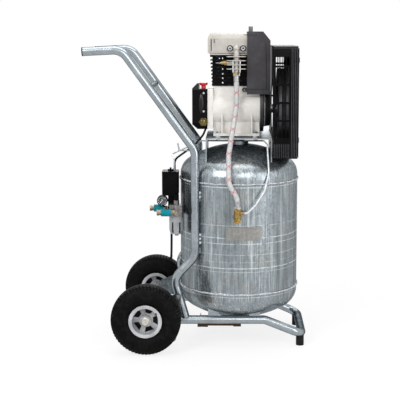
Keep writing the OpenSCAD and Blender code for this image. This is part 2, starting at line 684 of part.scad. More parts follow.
// Bolts, screws, nuts and the rubber pads under the pump's feet.
module mounting_hardware() in_frame() color("gray") {
    down = [0, 0, -1];
    for (p = pump_feet) {
        difference() {
            rod([p.x, p.y, deck_z], [p.x, p.y, deck_z + pad_t], 28);
            rod([p.x, p.y, deck_z - 1], [p.x, p.y, deck_z + pad_t + 1], 10.4);
        }
        bolt([p.x, p.y, deck_z + pad_t + 10], down, 10, pad_t + 10 + deck_t + 6);
        difference() {
            hex([p.x, p.y, deck_z - deck_t - 8], [p.x, p.y, deck_z - deck_t], 19);
            rod([p.x, p.y, deck_z - 20], [p.x, p.y, deck_z], 10.1);
        }
    }
    for (p = motor_feet) bolt([p.x, p.y, deck_z + 8], down, 8, 8 + deck_t + 4);
    for (s = [-1, 1]) bolt([pipe_x + s * 24, pump_y - 80, head_z + 18], [0, 1, 0], 8, 26);
    for (c = cover_screws) rod([flange_x0 - 14, c.x, c.y], [flange_x0 + 10, c.x, c.y], 6);
    for (c = cover_screws) hex([flange_x0 - 19, c.x, c.y], [flange_x0 - 14, c.x, c.y], 11);
    for (s = guard_seats) bolt([deck_x1 - deck_t, s.x, s.y], [1, 0, 0], 6, deck_t + 2 + guard_wall + 2);
    mirrored_y() bolt([-228, -base_y - tube_r - 5, 196], [0, 1, 0], 8, 5);
}

// ---- Air delivery ----
module discharge_manifold() in_frame() color("silver") difference() {
    z = head_z + 18;
    union() {
        slab_y(pump_y - 80, pump_y - 66) polygon(soft_outline(pipe_x - 34, z - 15, pipe_x + 33, z + 16, 12));
        rod([pipe_x, pump_y - 79, z], [pipe_x, pipe_y, z], 24);
        translate([pipe_x, pipe_y, z]) sphere(d = 26);
        rod([pipe_x, pipe_y, head_z - 64], [pipe_x, pipe_y, z], pipe_d);
        for (k = [0 : 3]) translate([0, 0, safety_z + 23 - 15 * k]) linear_extrude(3)
            polygon(soft_outline(pipe_x - 37, pipe_y - 22, pipe_x + 36, pipe_y + 21, 12));
        hex([pipe_x, pipe_y, head_z - 72], [pipe_x, pipe_y, head_z - 63], 26);
    }
    rod([pipe_x, pipe_y, head_z - 73], [pipe_x, pipe_y, z], 11);
    rod([pipe_x, pump_y - 60, z], [pipe_x, pipe_y, z], 12);
    for (s = [-1, 1]) rod([pipe_x + s * 24, pump_y - 81, z], [pipe_x + s * 24, pump_y - 60, z], 8.2);
    rod([pipe_x - 60, pipe_y, safety_z + 1], [pipe_x, pipe_y, safety_z + 1], 12);
}

module safety_valve() in_frame() color("goldenrod") difference() {
    union() {
        rod([pipe_x - 38, pipe_y, safety_z + 1], [pipe_x - 6, pipe_y, safety_z + 1], 11.9);
        hex([pipe_x - 46, pipe_y, safety_z + 1], [pipe_x - 37.6, pipe_y, safety_z + 1], 17);
        rod([pipe_x - 56, pipe_y, safety_z + 1], [pipe_x - 45, pipe_y, safety_z + 1], 11);
    }
    rod([pipe_x - 60, pipe_y, safety_z + 1], [pipe_x - 42, pipe_y, safety_z + 1], 5 + 2 * running_gap);
}

module safety_ring() in_frame() color("silver") {
    rod([pipe_x - 62, pipe_y, safety_z + 1], [pipe_x - 43, pipe_y, safety_z + 1], 5);
    translate([pipe_x - 68, pipe_y, safety_z + 1]) rotate_extrude() translate([8, 0]) circle(d = 2);
}

module shroud_outline(inset) {
    x1 = case_x1 + 37 - inset;
    z1 = head_z + 80 - inset;
    polygon([[29 - (inset > 0 ? 1 : 0), head_z - 151 - inset], [x1, head_z - 151 - inset], [x1, z1 - 33],
        [x1 - 27, z1], [29 - (inset > 0 ? 1 : 0), z1]]);
}

module air_shroud() in_frame() color("dimgray") difference() {
    union() {
        slab_y(pump_y - 82, pump_y + 82) shroud_outline(0);
        slab_y(pump_y - 82, pump_y - 79) polygon(soft_outline(11, crank_z + 64, 34, crank_z + 80, 7));
    }
    slab_y(pump_y - 79, pump_y + 79) shroud_outline(3);
    rod([19, pump_y - 90, crank_z + 72], [19, pump_y - 70, crank_z + 72], 5);
    rod([stud_x, pump_y, head_z + 70], [stud_x, pump_y, head_z + 90], 8.4);
}

module intake_stud() in_frame() color("gray") {
    rod([stud_x, pump_y, head_z + 76], [stud_x, pump_y, head_z + 81], 7);
    rod([stud_x, pump_y, head_z + 80], [stud_x, pump_y, head_z + 99], 16);
}

// ---- Belt drive ----
module flywheel() in_frame() color("dimgray") difference() {
    union() {
        difference() {
            rod([belt_x - 22, pump_y, crank_z], [belt_x + 22, pump_y, crank_z], flywheel_d);
            rod([belt_x - 23, pump_y, crank_z], [belt_x + 23, pump_y, crank_z], flywheel_d - 40);
        }
        rod([belt_x - 24, pump_y, crank_z], [belt_x + 24, pump_y, crank_z], 60);
        for (k = [0 : 5]) translate([belt_x, pump_y, crank_z]) rotate([60 * k, 0, 0])
            translate([0, 0, flywheel_r / 2]) rotate([0, 0, 24])
                cube([36, 10, flywheel_r - 24], center = true);
    }
    difference() {
        rod([belt_x - belt_w / 2 - 0.5, pump_y, crank_z], [belt_x + belt_w / 2 + 0.5, pump_y, crank_z],
            flywheel_d + 2);
        rod([belt_x - belt_w, pump_y, crank_z], [belt_x + belt_w, pump_y, crank_z],
            2 * (belt_pitch_r - belt_t / 2 - belt_gap));
    }
    rod([belt_x - 25, pump_y, crank_z], [belt_x + 25, pump_y, crank_z], crank_end_d + 0.04);
}

module motor_pulley() in_frame() color("dimgray") difference() {
    union() {
        rod([belt_x - 13, motor_y, motor_z], [belt_x + 13, motor_y, motor_z], pulley_pitch_d + belt_t + 3);
        rod([belt_x - 24, motor_y, motor_z], [belt_x - 12, motor_y, motor_z], 44);
    }
    difference() {
        rod([belt_x - belt_w / 2 - 0.5, motor_y, motor_z], [belt_x + belt_w / 2 + 0.5, motor_y, motor_z],
            pulley_pitch_d + 30);
        rod([belt_x - belt_w, motor_y, motor_z], [belt_x + belt_w, motor_y, motor_z],
            pulley_pitch_d - belt_t - 2 * belt_gap);
    }
    rod([belt_x - 25, motor_y, motor_z], [belt_x + 14, motor_y, motor_z], shaft_d + 0.04);
}

module drive_belt() in_frame() color("black") slab_x(belt_x - belt_w / 2, belt_x + belt_w / 2) difference() {
    tangent_link([pump_y, crank_z], belt_pitch_r + belt_t / 2,
        [motor_y, motor_z], pulley_pitch_r + belt_t / 2);
    tangent_link([pump_y, crank_z], belt_pitch_r - belt_t / 2,
        [motor_y, motor_z], pulley_pitch_r - belt_t / 2);
}

// ---- Motor ----
module motor_rod(x0, x1, d) rod([x0, motor_y, motor_z], [x1, motor_y, motor_z], d);

module motor_frame() difference() {
    union() {
        motor_rod(motor_x0, motor_x1, 2 * motor_r);
        for (k = [0 : 23]) translate([motor_x0, motor_y, motor_z]) rotate([15 * k, 0, 0])
            translate([4, -1.25, motor_r - 2]) cube([motor_x1 - motor_x0 - 8, 2.5, 10]);
        for (x = [-60, 40]) block([x - 16, motor_y - 84, deck_z], [x + 16, motor_y + 84, deck_z + 8]);
        block([-70, motor_y - 40, deck_z], [50, motor_y + 40, motor_z - motor_r + 10]);
    }
    motor_rod(motor_x0 - 1, motor_x1 + 1, 2 * motor_r - 16);
    for (p = motor_feet) rod([p.x, p.y, deck_z - 1], [p.x, p.y, deck_z + 9], 8.4);
}

// The stator's frame with its feet and the two end shields.
module motor_housing() in_frame() color("gray") {
    motor_frame();
    difference() {
        motor_rod(motor_x1, motor_x1 + 22, 2 * motor_r + 10);
        motor_rod(motor_x1 - 1, motor_x1 + 10, 90);
        motor_rod(motor_x1, motor_x1 + 23, shaft_d + 2 * running_gap);
    }
    difference() {
        motor_rod(motor_x0 - 12, motor_x0, 2 * motor_r + 10);
        motor_rod(motor_x0 - 13, motor_x0 + 1, shaft_d + 2 * running_gap);
    }
}

module motor_fan_cowl() in_frame() color("dimgray") difference() {
    motor_rod(motor_x0 - 58, motor_x0 - 12, 2 * motor_r + 12);
    motor_rod(motor_x0 - 55, motor_x0 - 11, 2 * motor_r + 7);
    for (k = [0 : 11]) translate([motor_x0 - 60, motor_y, motor_z]) rotate([30 * k, 0, 0])
        translate([0, -4, 24]) cube([6, 8, 34]);
}

module terminal_box() in_frame() color("dimgray") difference() {
    block([-76, motor_y - 35, motor_z + 60], [14, motor_y + 35, motor_z + 122]);
    motor_rod(-90, 30, 2 * motor_r + 16.2);
    block([-72, motor_y - 31, motor_z + 88], [10, motor_y + 31, motor_z + 118]);
    rod([-40, motor_y - 40, 985], [-40, motor_y - 30, 985], cable_d);
}

// The shaft with its rotor core, and the fan on its rear end.
module motor_rotor() in_frame() color("darkgray") {
    motor_rod(motor_x0 - 44, belt_x + 12, shaft_d);
    difference() {
        motor_rod(motor_x0 + 30, motor_x1 - 30, 2 * motor_r - 24);
        motor_rod(motor_x0, motor_x1, shaft_d);
    }
    difference() {
        union() {
            motor_rod(motor_x0 - 40, motor_x0 - 16, 40);
            for (k = [0 : 6]) translate([motor_x0 - 38, motor_y, motor_z]) rotate([360 / 7 * k, 0, 0])
                translate([0, -1.5, 15]) cube([20, 3, 50]);
        }
        motor_rod(motor_x0 - 50, motor_x0, shaft_d);
    }
}

// ---- Belt guard ----
module guard_outline(inset) polygon(soft_outline(guard_y0 + inset, guard_z0 + inset,
    guard_y1 - inset, guard_z1 - inset, 36 - inset));

module guard_windows() for (k = [0 : 4], j = [0 : 3])
    block([guard_x0 + 8 + 13 * j, guard_y0 - 1, guard_bars[k] + 3],
        [guard_x0 + 18 + 13 * j, guard_y1 + 1, min(guard_bars[k] + 61, guard_z1 - 40)]);

module belt_guard_back() in_frame() color("black") difference() {
    union() {
        slab_x(guard_x0, guard_split) guard_outline(0);
        for (s = guard_seats) rod([deck_x1, s.x, s.y], [guard_x0 + 1, s.x, s.y], 16);
    }
    slab_x(guard_x0 + guard_wall, guard_split + 1) guard_outline(guard_wall);
    guard_windows();
    upper_dome(8);
    rod([guard_x0 - 1, pump_y, crank_z], [guard_x0 + 5, pump_y, crank_z], 190);
    rod([guard_x0 - 1, motor_y, motor_z], [guard_x0 + 5, motor_y, motor_z], 80);
    for (s = guard_seats) rod([deck_x1 - 1, s.x, s.y], [guard_x0 + 5, s.x, s.y], 6.4);
}

module belt_guard_front() in_frame() color("black") {
    difference() {
        slab_x(guard_split, guard_x1) guard_outline(0);
        slab_x(guard_split - 1, guard_x1 - guard_wall) guard_outline(guard_wall);
        for (k = [0 : 4], j = [0 : 12]) block([guard_x1 - 5, guard_y0 + 45 + 30 * j, guard_bars[k] + 8],
            [guard_x1 + 1, guard_y0 + 65 + 30 * j, guard_bars[k] + 54]);
    }
    for (z = [guard_z0 + 64, guard_z1 - 60], y = [guard_y0, guard_y1 - 9])
        block([guard_x1, y, z], [guard_x1 + 4, y + 9, z + 18]);
}

// ---- Hose, check valve and unloader tube ----
module discharge_hose() in_frame() color("gainsboro") bent_tube(HOSE_ROUTE, 60, hose_d, 4);

module ferrule(a, b) difference() {
    union() {
        rod(a, b, hose_d + 4.4);
        hex(a, a + 0.35 * (b - a), hose_d + 9);
    }
    rod(a - 0.1 * (b - a), b + 0.1 * (b - a), hose_d + 0.1);
}

module hose_ferrules() in_frame() color("silver") {
    n = len(HOSE_ROUTE) - 1;
    ferrule(HOSE_ROUTE[0], HOSE_ROUTE[0] - [0, 0, 30]);
    ferrule(HOSE_ROUTE[n], HOSE_ROUTE[n] + 26 * unit(HOSE_ROUTE[n - 1] - HOSE_ROUTE[n]));
}

module check_valve() in_frame() color("goldenrod") difference() {
    v = valve_at;
    union() {
        rod([v.x, v.y, v.z - 14], [v.x, v.y, v.z + 26], 24);
        hex([v.x, v.y, v.z - 17], [v.x, v.y, v.z - 6], 28);
        hex([v.x, v.y, v.z + 24], [v.x, v.y, 541], 28);
        hex([v.x, -tank_r - 4, v.z], [v.x, v.y + 4, v.z], 32);
        rod([v.x, -tank_r + 6, v.z], [v.x, v.y, v.z], 20.8);
        hex([v.x + 10, v.y, 524], [20, v.y, 524], 10);
    }
    rod([v.x, v.y, v.z - 4], [v.x, v.y, 542], 11);
    rod([v.x, -tank_r + 7, v.z], [v.x, v.y, v.z], 11);
    rod([v.x, v.y, 524], [21, v.y, 524], unloader_d + 0.2);
}

module unloader_tube() in_frame() color("white") bent_tube(UNLOADER_ROUTE, 14, unloader_d, 1);

// ---- Pressure switch, regulator, gauge and couplings ----
module switch_base() in_frame() color("black") difference() {
    x = switch_at.x;
    y = switch_at.y;
    union() {
        block([x - 9, y - 20, manifold_z + 18], [x + 29, y + 20, switch_z - 2]);
        block([x - 29, y - 34, switch_z - 3], [x + 29, y + 34, switch_z]);
        block([x - 9, y - 20, manifold_z - 17], [x + 29, y + 28, manifold_z + 19]);
        rod([x + 28, -62, manifold_z], [-tank_r + 8, -62, manifold_z], 20.8);
        rod([regulator_at.x, y - 19, manifold_z], [regulator_at.x, regulator_at.y + 26, manifold_z], 20);
    }
    rod([-278, gauge_at.y, gauge_at.z], [-258, gauge_at.y, gauge_at.z], 10.2);
    rod([x - 10, left_sleeve_at.y, coupling_z], [x, left_sleeve_at.y, coupling_z], 14.2);
}

module switch_cover() in_frame() color("black") difference() {
    x = switch_at.x;
    y = switch_at.y;
    union() {
        translate([0, 0, switch_z]) linear_extrude(switch_h)
            polygon(soft_outline(x - 31, y - 35, x + 31, y + 35, 6));
        rod([-248, y + 34, 612], [-248, y + 44, 612], 18);
        rod([-266, y + 34, 590], [-266, y + 41, 590], 18);
    }
    translate([0, 0, switch_z - 1]) linear_extrude(switch_h - 2)
        polygon(soft_outline(x - 28, y - 32, x + 28, y + 32, 4));
    rod([-248, y + 20, 612], [-248, y + 45, 612], cable_d + 0.4);
    rod([-266, y + 20, 590], [-266, y + 45, 590], cord_d + 0.2);
    rod([-247, -56, switch_top - 10], [-247, -56, switch_top + 1], unloader_d + 0.2);
    rod([x, y, switch_top - 10], [x, y, switch_top + 1], 10 + 2 * running_gap);
}

module switch_knob() in_frame() color("dimgray") {
    x = switch_at.x;
    y = switch_at.y;
    rod([x, y, switch_top - 9], [x, y, switch_top + 1], 10);
    rod([x, y, switch_top + 0.3], [x, y, switch_top + 6], 22);
    block([x - 3, y - 10, switch_top + 5], [x + 3, y + 10, switch_top + 12]);
}

module at_regulator(z) translate([regulator_at.x, regulator_at.y, z]) children();

module regulator_body() in_frame() color("silver") difference() {
    union() {
        at_regulator(manifold_z - 15) linear_extrude(45) polygon(soft_outline(-26, -26, 26, 26, 8));
        at_regulator(manifold_z + 29) cylinder(d = 22, h = 16);
    }
    rod([regulator_at.x, right_sleeve_at.y, coupling_z],
        [regulator_at.x, regulator_at.y - 12, coupling_z], 14.2);
    at_regulator(manifold_z + 34) cylinder(d = 12 + 2 * running_gap, h = 20);
}

module regulator_knob() in_frame() color("black") {
    at_regulator(manifold_z + 35) cylinder(d = 12, h = 12);
    at_regulator(manifold_z + 45.3) cylinder(d = 19, h = 21);
}

// The clear bowl and the slotted metal guard around it.
module filter_bowl() in_frame() color("lightgray") {
    top = manifold_z - 15;
    difference() {
        union() {
            at_regulator(top - 66) cylinder(d1 = bowl_d - 8, d2 = bowl_d - 2, h = 14);
            at_regulator(top - 52) cylinder(d = bowl_d, h = 52);
        }
        at_regulator(top - 63) cylinder(d = bowl_d - 8, h = 64);
        at_regulator(top - 67) cylinder(d = 16, h = 10);
        for (k = [0 : 5]) at_regulator(top - 60) rotate(60 * k) translate([10, -4, 0]) cube([30, 8, 40]);
    }
    difference() {
        union() {
            at_regulator(top - 60) cylinder(d = bowl_d - 10, h = 60);
            at_regulator(top - 74) cylinder(d = 14, h = 15);
        }
        at_regulator(top - 56) cylinder(d = bowl_d - 16, h = 57);
    }
}

module gauge_case() in_frame() color("black") difference() {
    g = gauge_at;
    union() {
        rod([g.x, g.y - 15, g.z], [g.x, g.y + 11, g.z], gauge_d);
        rod([g.x, g.y, g.z], [-260, g.y, g.z], 10);
    }
    rod([g.x, g.y - 16, g.z], [g.x, g.y - 10, g.z], gauge_d - 4);
    rod([g.x, g.y - 11, g.z], [g.x, g.y - 6, g.z], 3 + 2 * running_gap);
}

module gauge_needle() in_frame() color("white") {
    rod([gauge_at.x, needle_y, gauge_at.z], [gauge_at.x, gauge_at.y - 7, gauge_at.z], 3);
    translate([gauge_at.x, needle_y, gauge_at.z]) rotate([0, -135, 0])
        block([-1, -0.5, -4], [1, 0.5, gauge_d / 2 - 5]);
}

module coupling_body(tip, y, root) difference() {
    union() {
        rod([tip.x - 16, y, coupling_z], [tip.x + 43, y, coupling_z], 20);
        rod([tip.x - 16, y, coupling_z], [tip.x - 9, y, coupling_z], 22);
        hex([tip.x + 43, y, coupling_z], [tip.x + 50, y, coupling_z], 24);
        rod([tip.x + 42, y, coupling_z], [root, y, coupling_z], 14);
    }
    rod([tip.x - 17, y, coupling_z], [tip.x + 20, y, coupling_z], 11);
}

module coupling_bodies() in_frame() color("silver") {
    elbow_x = regulator_at.x;
    coupling_body(right_sleeve_at, right_sleeve_at.y, elbow_x + 4);
    rod([elbow_x, right_sleeve_at.y - 7, coupling_z], [elbow_x, regulator_at.y - 13, coupling_z], 14);
    hex([elbow_x, right_sleeve_at.y + 4, coupling_z], [elbow_x, regulator_at.y - 26, coupling_z], 22);
    coupling_body(left_sleeve_at, left_sleeve_at.y, switch_at.x - 1);
}

module sleeve(p) difference() {
    rod([p.x, p.y, coupling_z], [p.x + 42.5 - sleeve_travel, p.y, coupling_z], sleeve_d);
    rod([p.x - 1, p.y, coupling_z], [p.x + 45, p.y, coupling_z], 20 + 2 * running_gap);
}

module right_coupling_sleeve() in_frame() color("darkcyan") sleeve(right_sleeve_at);

module left_coupling_sleeve() in_frame() color("darkcyan") sleeve(left_sleeve_at);

// ---- Cables ----
module motor_cable() in_frame() color("black") bent_tube(CABLE_ROUTE, 16, cable_d);

// A tube swept along a route, with its rings square to the mean of the lengths on each side.
module swept_cord(p, d, sides) {
    n = len(p);
    function tangent(i) = unit(p[min(i + 1, n - 1)] - p[max(i - 1, 0)]);
    rings = [for (i = [0 : n - 1]) let (t = tangent(i), s = abs(t.x) < 0.9 ? [1, 0, 0] : [0, 1, 0],
        u = unit(cross(t, s)), v = cross(t, u))
        for (k = [0 : sides - 1]) p[i] + d / 2 * (cos(360 / sides * k) * u + sin(360 / sides * k) * v)];
    walls = [for (i = [0 : n - 2], k = [0 : sides - 1])
        let (a = i * sides + k, b = i * sides + (k + 1) % sides) [a, b, b + sides, a + sides]];
    polyhedron(rings, concat(walls, [[for (k = [sides - 1 : -1 : 0]) k],
        [for (k = [0 : sides - 1]) (n - 1) * sides + k]]));
}

module mains_cord() in_frame() color("black") swept_cord(CORD_ROUTE, cord_d, 10);

module mains_cord_coil() in_frame() color("black") translate([coil_at.x, coil_at.y, 0.2])
    rotate_extrude() translate([coil_r - coil_w / 2, 0]) square([coil_w, coil_h]);

module mains_plug() in_frame() color("black")
    translate([coil_at.x, coil_at.y + coil_r + cord_d, plug_d / 2 + 0.2]) {
        rod([0, 0, -9], [20, 0, -2], cord_d);
        cone([18, 0, 0], [40, 0, 0], 14, 22);
        rod([40, 0, 0], [80, 0, 0], plug_d);
        for (s = [-1, 1]) rod([80, s * 9.5, 0], [99, s * 9.5, 0], 4.8);
    }

tank_shell();
tank_heads();
right_side_tube();
left_side_tube();
handle_cross_bar();
base_tube();
grip_end_plugs();
rubber_feet();
axle_plates();
axle();
hub_caps();
right_tyre();
right_rim();
left_tyre();
left_rim();
drain_valve();
drain_lever();
platform();
crankcase();
end_cover();
oil_plug();
oil_sight_glass();
cylinder_block();
valve_plate();
cylinder_head();
crankshaft();
mounting_hardware();
flywheel();
discharge_manifold();
safety_valve();
safety_ring();
air_shroud();
intake_stud();
motor_housing();
motor_fan_cowl();
terminal_box();
motor_rotor();
motor_pulley();
drive_belt();
belt_guard_back();
belt_guard_front();
discharge_hose();
hose_ferrules();
check_valve();
unloader_tube();
switch_base();
switch_cover();
switch_knob();
regulator_body();
regulator_knob();
filter_bowl();
gauge_case();
gauge_needle();
coupling_bodies();
right_coupling_sleeve();
left_coupling_sleeve();
motor_cable();
mains_cord();
mains_cord_coil();
mains_plug();
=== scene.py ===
import math

import bmesh
import bpy
import numpy as np
from bpy.props import FloatProperty, FloatVectorProperty, IntProperty, PointerProperty
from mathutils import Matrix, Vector


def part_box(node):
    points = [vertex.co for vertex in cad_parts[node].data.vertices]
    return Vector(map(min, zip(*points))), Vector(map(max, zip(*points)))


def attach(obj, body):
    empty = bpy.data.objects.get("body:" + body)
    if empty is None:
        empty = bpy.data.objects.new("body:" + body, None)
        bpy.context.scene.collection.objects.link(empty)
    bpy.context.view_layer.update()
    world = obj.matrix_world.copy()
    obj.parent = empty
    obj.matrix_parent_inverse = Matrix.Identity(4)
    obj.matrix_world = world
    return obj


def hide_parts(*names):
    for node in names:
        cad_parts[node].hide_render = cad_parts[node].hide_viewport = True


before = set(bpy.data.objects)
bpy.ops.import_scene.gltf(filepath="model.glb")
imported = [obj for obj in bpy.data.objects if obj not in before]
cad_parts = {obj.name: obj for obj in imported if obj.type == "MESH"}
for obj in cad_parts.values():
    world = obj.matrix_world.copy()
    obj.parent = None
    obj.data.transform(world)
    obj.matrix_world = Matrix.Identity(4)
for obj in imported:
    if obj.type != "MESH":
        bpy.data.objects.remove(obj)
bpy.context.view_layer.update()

bl_info = {
    "name": "Wheelbarrow air compressor",
    "version": (1, 0, 0),
    "blender": (4, 5, 0),
    "location": "View3D > Sidebar > Compressor",
    "description": "Finishes and detail pieces for a wheelbarrow air compressor, and its studio",
    "category": "Object",
}

# The tank stands upright, and the places of all other pieces are counted from its axis.
shell_low, shell_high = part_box("tank_shell")
TANK_X = (shell_low[0] + shell_high[0]) / 2
TANK_R = (shell_high[1] - shell_low[1]) / 2


def place(points):
    """Points in millimetres from the tank's axis on the floor, as metres in the model's frame."""
    return np.asarray(points, float) / 1000 + (TANK_X, 0, 0)


# Routes of the flexible pieces, from one end to the other.
MAINS_ROUTE = [
    (-266, -36, 590), (-266, -5, 590), (-266, 15, 585), (-265, 29, 571), (-264, 35, 550),
    (-264, 37, 505), (-264, 45, 455), (-265, 62, 400), (-267, 88, 345), (-270, 124, 298),
    (-274, 168, 268), (-277, 214, 256), (-279, 256, 254), (-280, 290, 250), (-283, 315, 231),
    (-285, 328, 198), (-287, 334, 160), (-289, 336, 120), (-291, 338, 82), (-294, 340, 56),
    (-301, 342, 35), (-313, 344, 21), (-328, 346, 14)]
HOSE_ROUTE = [(-10, -125, 1027), (-10, -125, 905), (-38, -206, 730), (-37, -247, 630),
              (-6, -249, 580), (-6, -249, 541)]
MOTOR_CABLE_ROUTE = [(-40, 153, 985), (-40, 76, 985), (-110, 76, 850), (-140, 40, 780),
                     (-172, 10, 745), (-248, 10, 690), (-248, 10, 612), (-248, -35, 612)]
COIL_CENTRE = (-341, 405)
PLUG_START = (-341, 464, 19.2)

# Places that more than one piece shares, in millimetres as above, and two directions: the
# compressor's right side faces -Y.
AXLE_X, WHEEL_Y, AXLE_Z = -341, 260, 130
FLANGE_SCREW_X, FLANGE_SCREW_Z = (-34, 14), 1117
RIGHTWARD, UP = (0, -1, 0), (0, 0, 1)

# From here on, lengths are in metres. Camera: its place from the tank's axis, its tilt and turn in
# degrees, and the lens's shift.
CAMERA_AT, CAMERA_TILT, CAMERA_TURN = (-0.0124, -3.939, 1.1614), 82.275, 0.983
CAMERA_SHIFT = (-0.0453, -0.06)
# Lamps: place and size. Each looks at the middle of the compressor.
LAMP_TARGET = (TANK_X, 0, 0.6)
LAMPS = (("key", (-1.9, -2.9, 2.6), (1.6, 2.2)), ("front", (0.95, -3.8, 2.3), (1.9, 1.8)),
         ("fill", (2.6, -2.2, 1.4), (1.2, 2.4)), ("top", (TANK_X, 0.1, 3.2), (2.4, 2.4)),
         ("back", (0.6, 3.2, 2.2), (2.4, 2.0)))
# The floor's reach, and its level: a little under the tyres and feet, which stand on zero.
FLOOR_REACH, FLOOR_LEVEL = 30, -0.0004
# Where the safety valve's brass ends and its nickel begins, along X.
SAFETY_SPLIT = 0.1105
# Nodes of the model that a piece made here stands for.
REPLACED = ("mains_cord", "mains_cord_coil", "mains_plug", "motor_cable", "discharge_hose",
            "right_tyre", "left_tyre")

# Scuff lines round the tank, as (height, half width): slings, pallets, and the line under each
# weld where the zinc ran thick.
SCUFFS = ((0.4255, 0.0018), (0.4040, 0.0014), (0.3630, 0.0010), (0.3120, 0.0020),
          (0.3350, 0.0008), (0.2980, 0.0010), (0.4720, 0.0010),
          (shell_low[2] - 0.010, 0.0012), (shell_high[2] - 0.011, 0.0016))
# Zinc drops beside each side tube: their heights, and their place along X from the axis.
DROP_LEVELS, DROP_X = (0.400, 0.415, 0.430, 0.572, 0.588), -0.146


def wheel_centre(side):
    """Middle of a wheel: side is -1 for the right one and 1 for the left one."""
    return place([AXLE_X, side * WHEEL_Y, AXLE_Z])


def linear(code):
    """A colour written as six hexadecimal digits, in the linear values that shaders take."""
    c = np.array([int(code[i:i + 2], 16) for i in (0, 2, 4)]) / 255
    return tuple(np.where(c <= 0.04045, c / 12.92, ((c + 0.055) / 1.055) ** 2.4).tolist())


def shade_of(name, description, code):
    """A colour that the user can change, with its default in hexadecimal digits."""
    return FloatVectorProperty(name=name, description=description, subtype="COLOR", size=3,
                               min=0, max=1, default=linear(code))


def millimetres(name, description, value, low, high):
    """A length that the user can change, given in millimetres and kept in metres."""
    return FloatProperty(name=name, description=description, subtype="DISTANCE", unit="LENGTH",
                         default=value / 1000, min=low / 1000, max=high / 1000)


class CompressorColours(bpy.types.PropertyGroup):
    """Colours of the finishes"""
    galvanised: shade_of("Galvanised plate", "Zinc on the tank and its heads", "929BA0")
    # On the tank this colour also paints the pale reflections in its upright streaks.
    bloom: shade_of("Zinc bloom", "Pale streaks and patches in the zinc", "CDD2D3")
    tube: shade_of("Galvanised tube", "Zinc on the frame's tubes", "979FA4")
    casting: shade_of("Machined casting", "Cylinder head and manifold", "A8A49E")
    crankcase: shade_of("Crankcase", "Pale paint on the crankcase", "CFCCC7")
    black: shade_of("Black moulding", "Guard, switch and gauge case", "070708")
    shroud: shade_of("Air shroud", "Moulding over the pump's side", "2E2C30")
    rim: shade_of("Rims", "Grey mouldings of the wheels", "A5A6A9")
    rubber: shade_of("Tyres", "Rubber of the tyres", "060607")
    brass: shade_of("Brass", "Valves and fittings", "A4874F")
    red: shade_of("Red", "Oil plug and drain lever", "B0101C")
    teal: shade_of("Coupling sleeves", "Sleeves of the quick couplings", "00707D")
    hose: shade_of("Hose braid", "Yarn of the air hose", "A6A8A9")
    tracer: shade_of("Hose tracer", "Marker yarns in the air hose", "B3262E")


class CompressorSizes(bpy.types.PropertyGroup):
    """Sizes of the pieces made here"""
    lugs: IntProperty(name="Lugs", description="Tread lugs on each shoulder of a tyre",
                      default=62, min=30, max=90)
    lug_depth: millimetres("Lug depth", "Depth of the tread between the lugs", 4.5, 2, 8)
    mains_diameter: millimetres("Mains cord", "Diameter of the mains cord", 9, 7, 10)
    hose_diameter: millimetres("Air hose", "Outside diameter of the air hose", 19, 16, 22)
    cable_diameter: millimetres("Motor cable", "Diameter of the motor's cable", 8, 6, 9)
    tracer_pitch: millimetres("Tracer pitch", "Length of a marker yarn's turn", 48, 30, 80)
    ripple: millimetres("Weld ripple", "Distance between two ripples of a weld", 3.2, 2, 6)


class CompressorStage(bpy.types.PropertyGroup):
    """Lens, lamps and backdrop"""
    focal_length: FloatProperty(name="Focal length", description="Lens of the camera",
                                subtype="DISTANCE_CAMERA", default=92.7, min=35, max=200)
    key_power: FloatProperty(name="Key lamp", description="Power of the large lamp on the left",
                             subtype="POWER", unit="POWER", default=84, min=0, max=500)
    front_power: FloatProperty(name="Front lamp", description="Power of the lamp by the camera",
                               subtype="POWER", unit="POWER", default=40, min=0, max=500)
    fill_power: FloatProperty(name="Fill lamp", description="Power of the lamp on the right",
                              subtype="POWER", unit="POWER", default=34, min=0, max=500)
    top_power: FloatProperty(name="Top lamp", description="Power of the overhead lamp",
                             subtype="POWER", unit="POWER", default=46, min=0, max=500)
    back_power: FloatProperty(name="Back lamp", description="Power of the lamp behind",
                              subtype="POWER", unit="POWER", default=40, min=0, max=500)
    ambient: FloatProperty(name="Ambient", description="Light from all round", default=0.4,
                           min=0, max=2)
    paper: shade_of("Paper", "Floor and backdrop", "FFFFFF")


# ---- Shader maths ----
class Value:
    """A shader socket that can stand in a Python expression: each operator adds its Math node."""

    def __init__(self, shading, socket):
        self.shading, self.socket = shading, socket

    def math(self, operation, *values, clamp=False):
        return self.shading.node("Math", {"operation": operation, "use_clamp": clamp},
                                dict(enumerate(values)))

    def __add__(self, other):
        return self.math("ADD", self, other)

    def __sub__(self, other):
        return self.math("SUBTRACT", self, other)

    def __rsub__(self, other):
        return self.math("SUBTRACT", other, self)

    def __mul__(self, other):
        return self.math("MULTIPLY", self, other)

    def __truediv__(self, other):
        return self.math("DIVIDE", self, other)

    def __rtruediv__(self, other):
        return self.math("DIVIDE", other, self)

    __radd__, __rmul__ = __add__, __mul__

    def clamp(self):
        """The value held between 0 and 1."""
        return self.math("ADD", self, 0, clamp=True)

    def fraction(self):
        """What is left of the value over a whole number."""
        return self.math("FRACT", self)

    def sine(self):
        return self.math("SINE", self)

    def size(self):
        """The value without its sign."""
        return self.math("ABSOLUTE", self)

    def step(self, low, high):
        """0 below low, 1 above high, and a smooth rise between them."""
        return self.shading.node("MapRange", {"interpolation_type": "SMOOTHSTEP"},
                                {"Value": self, "From Min": low, "From Max": high})


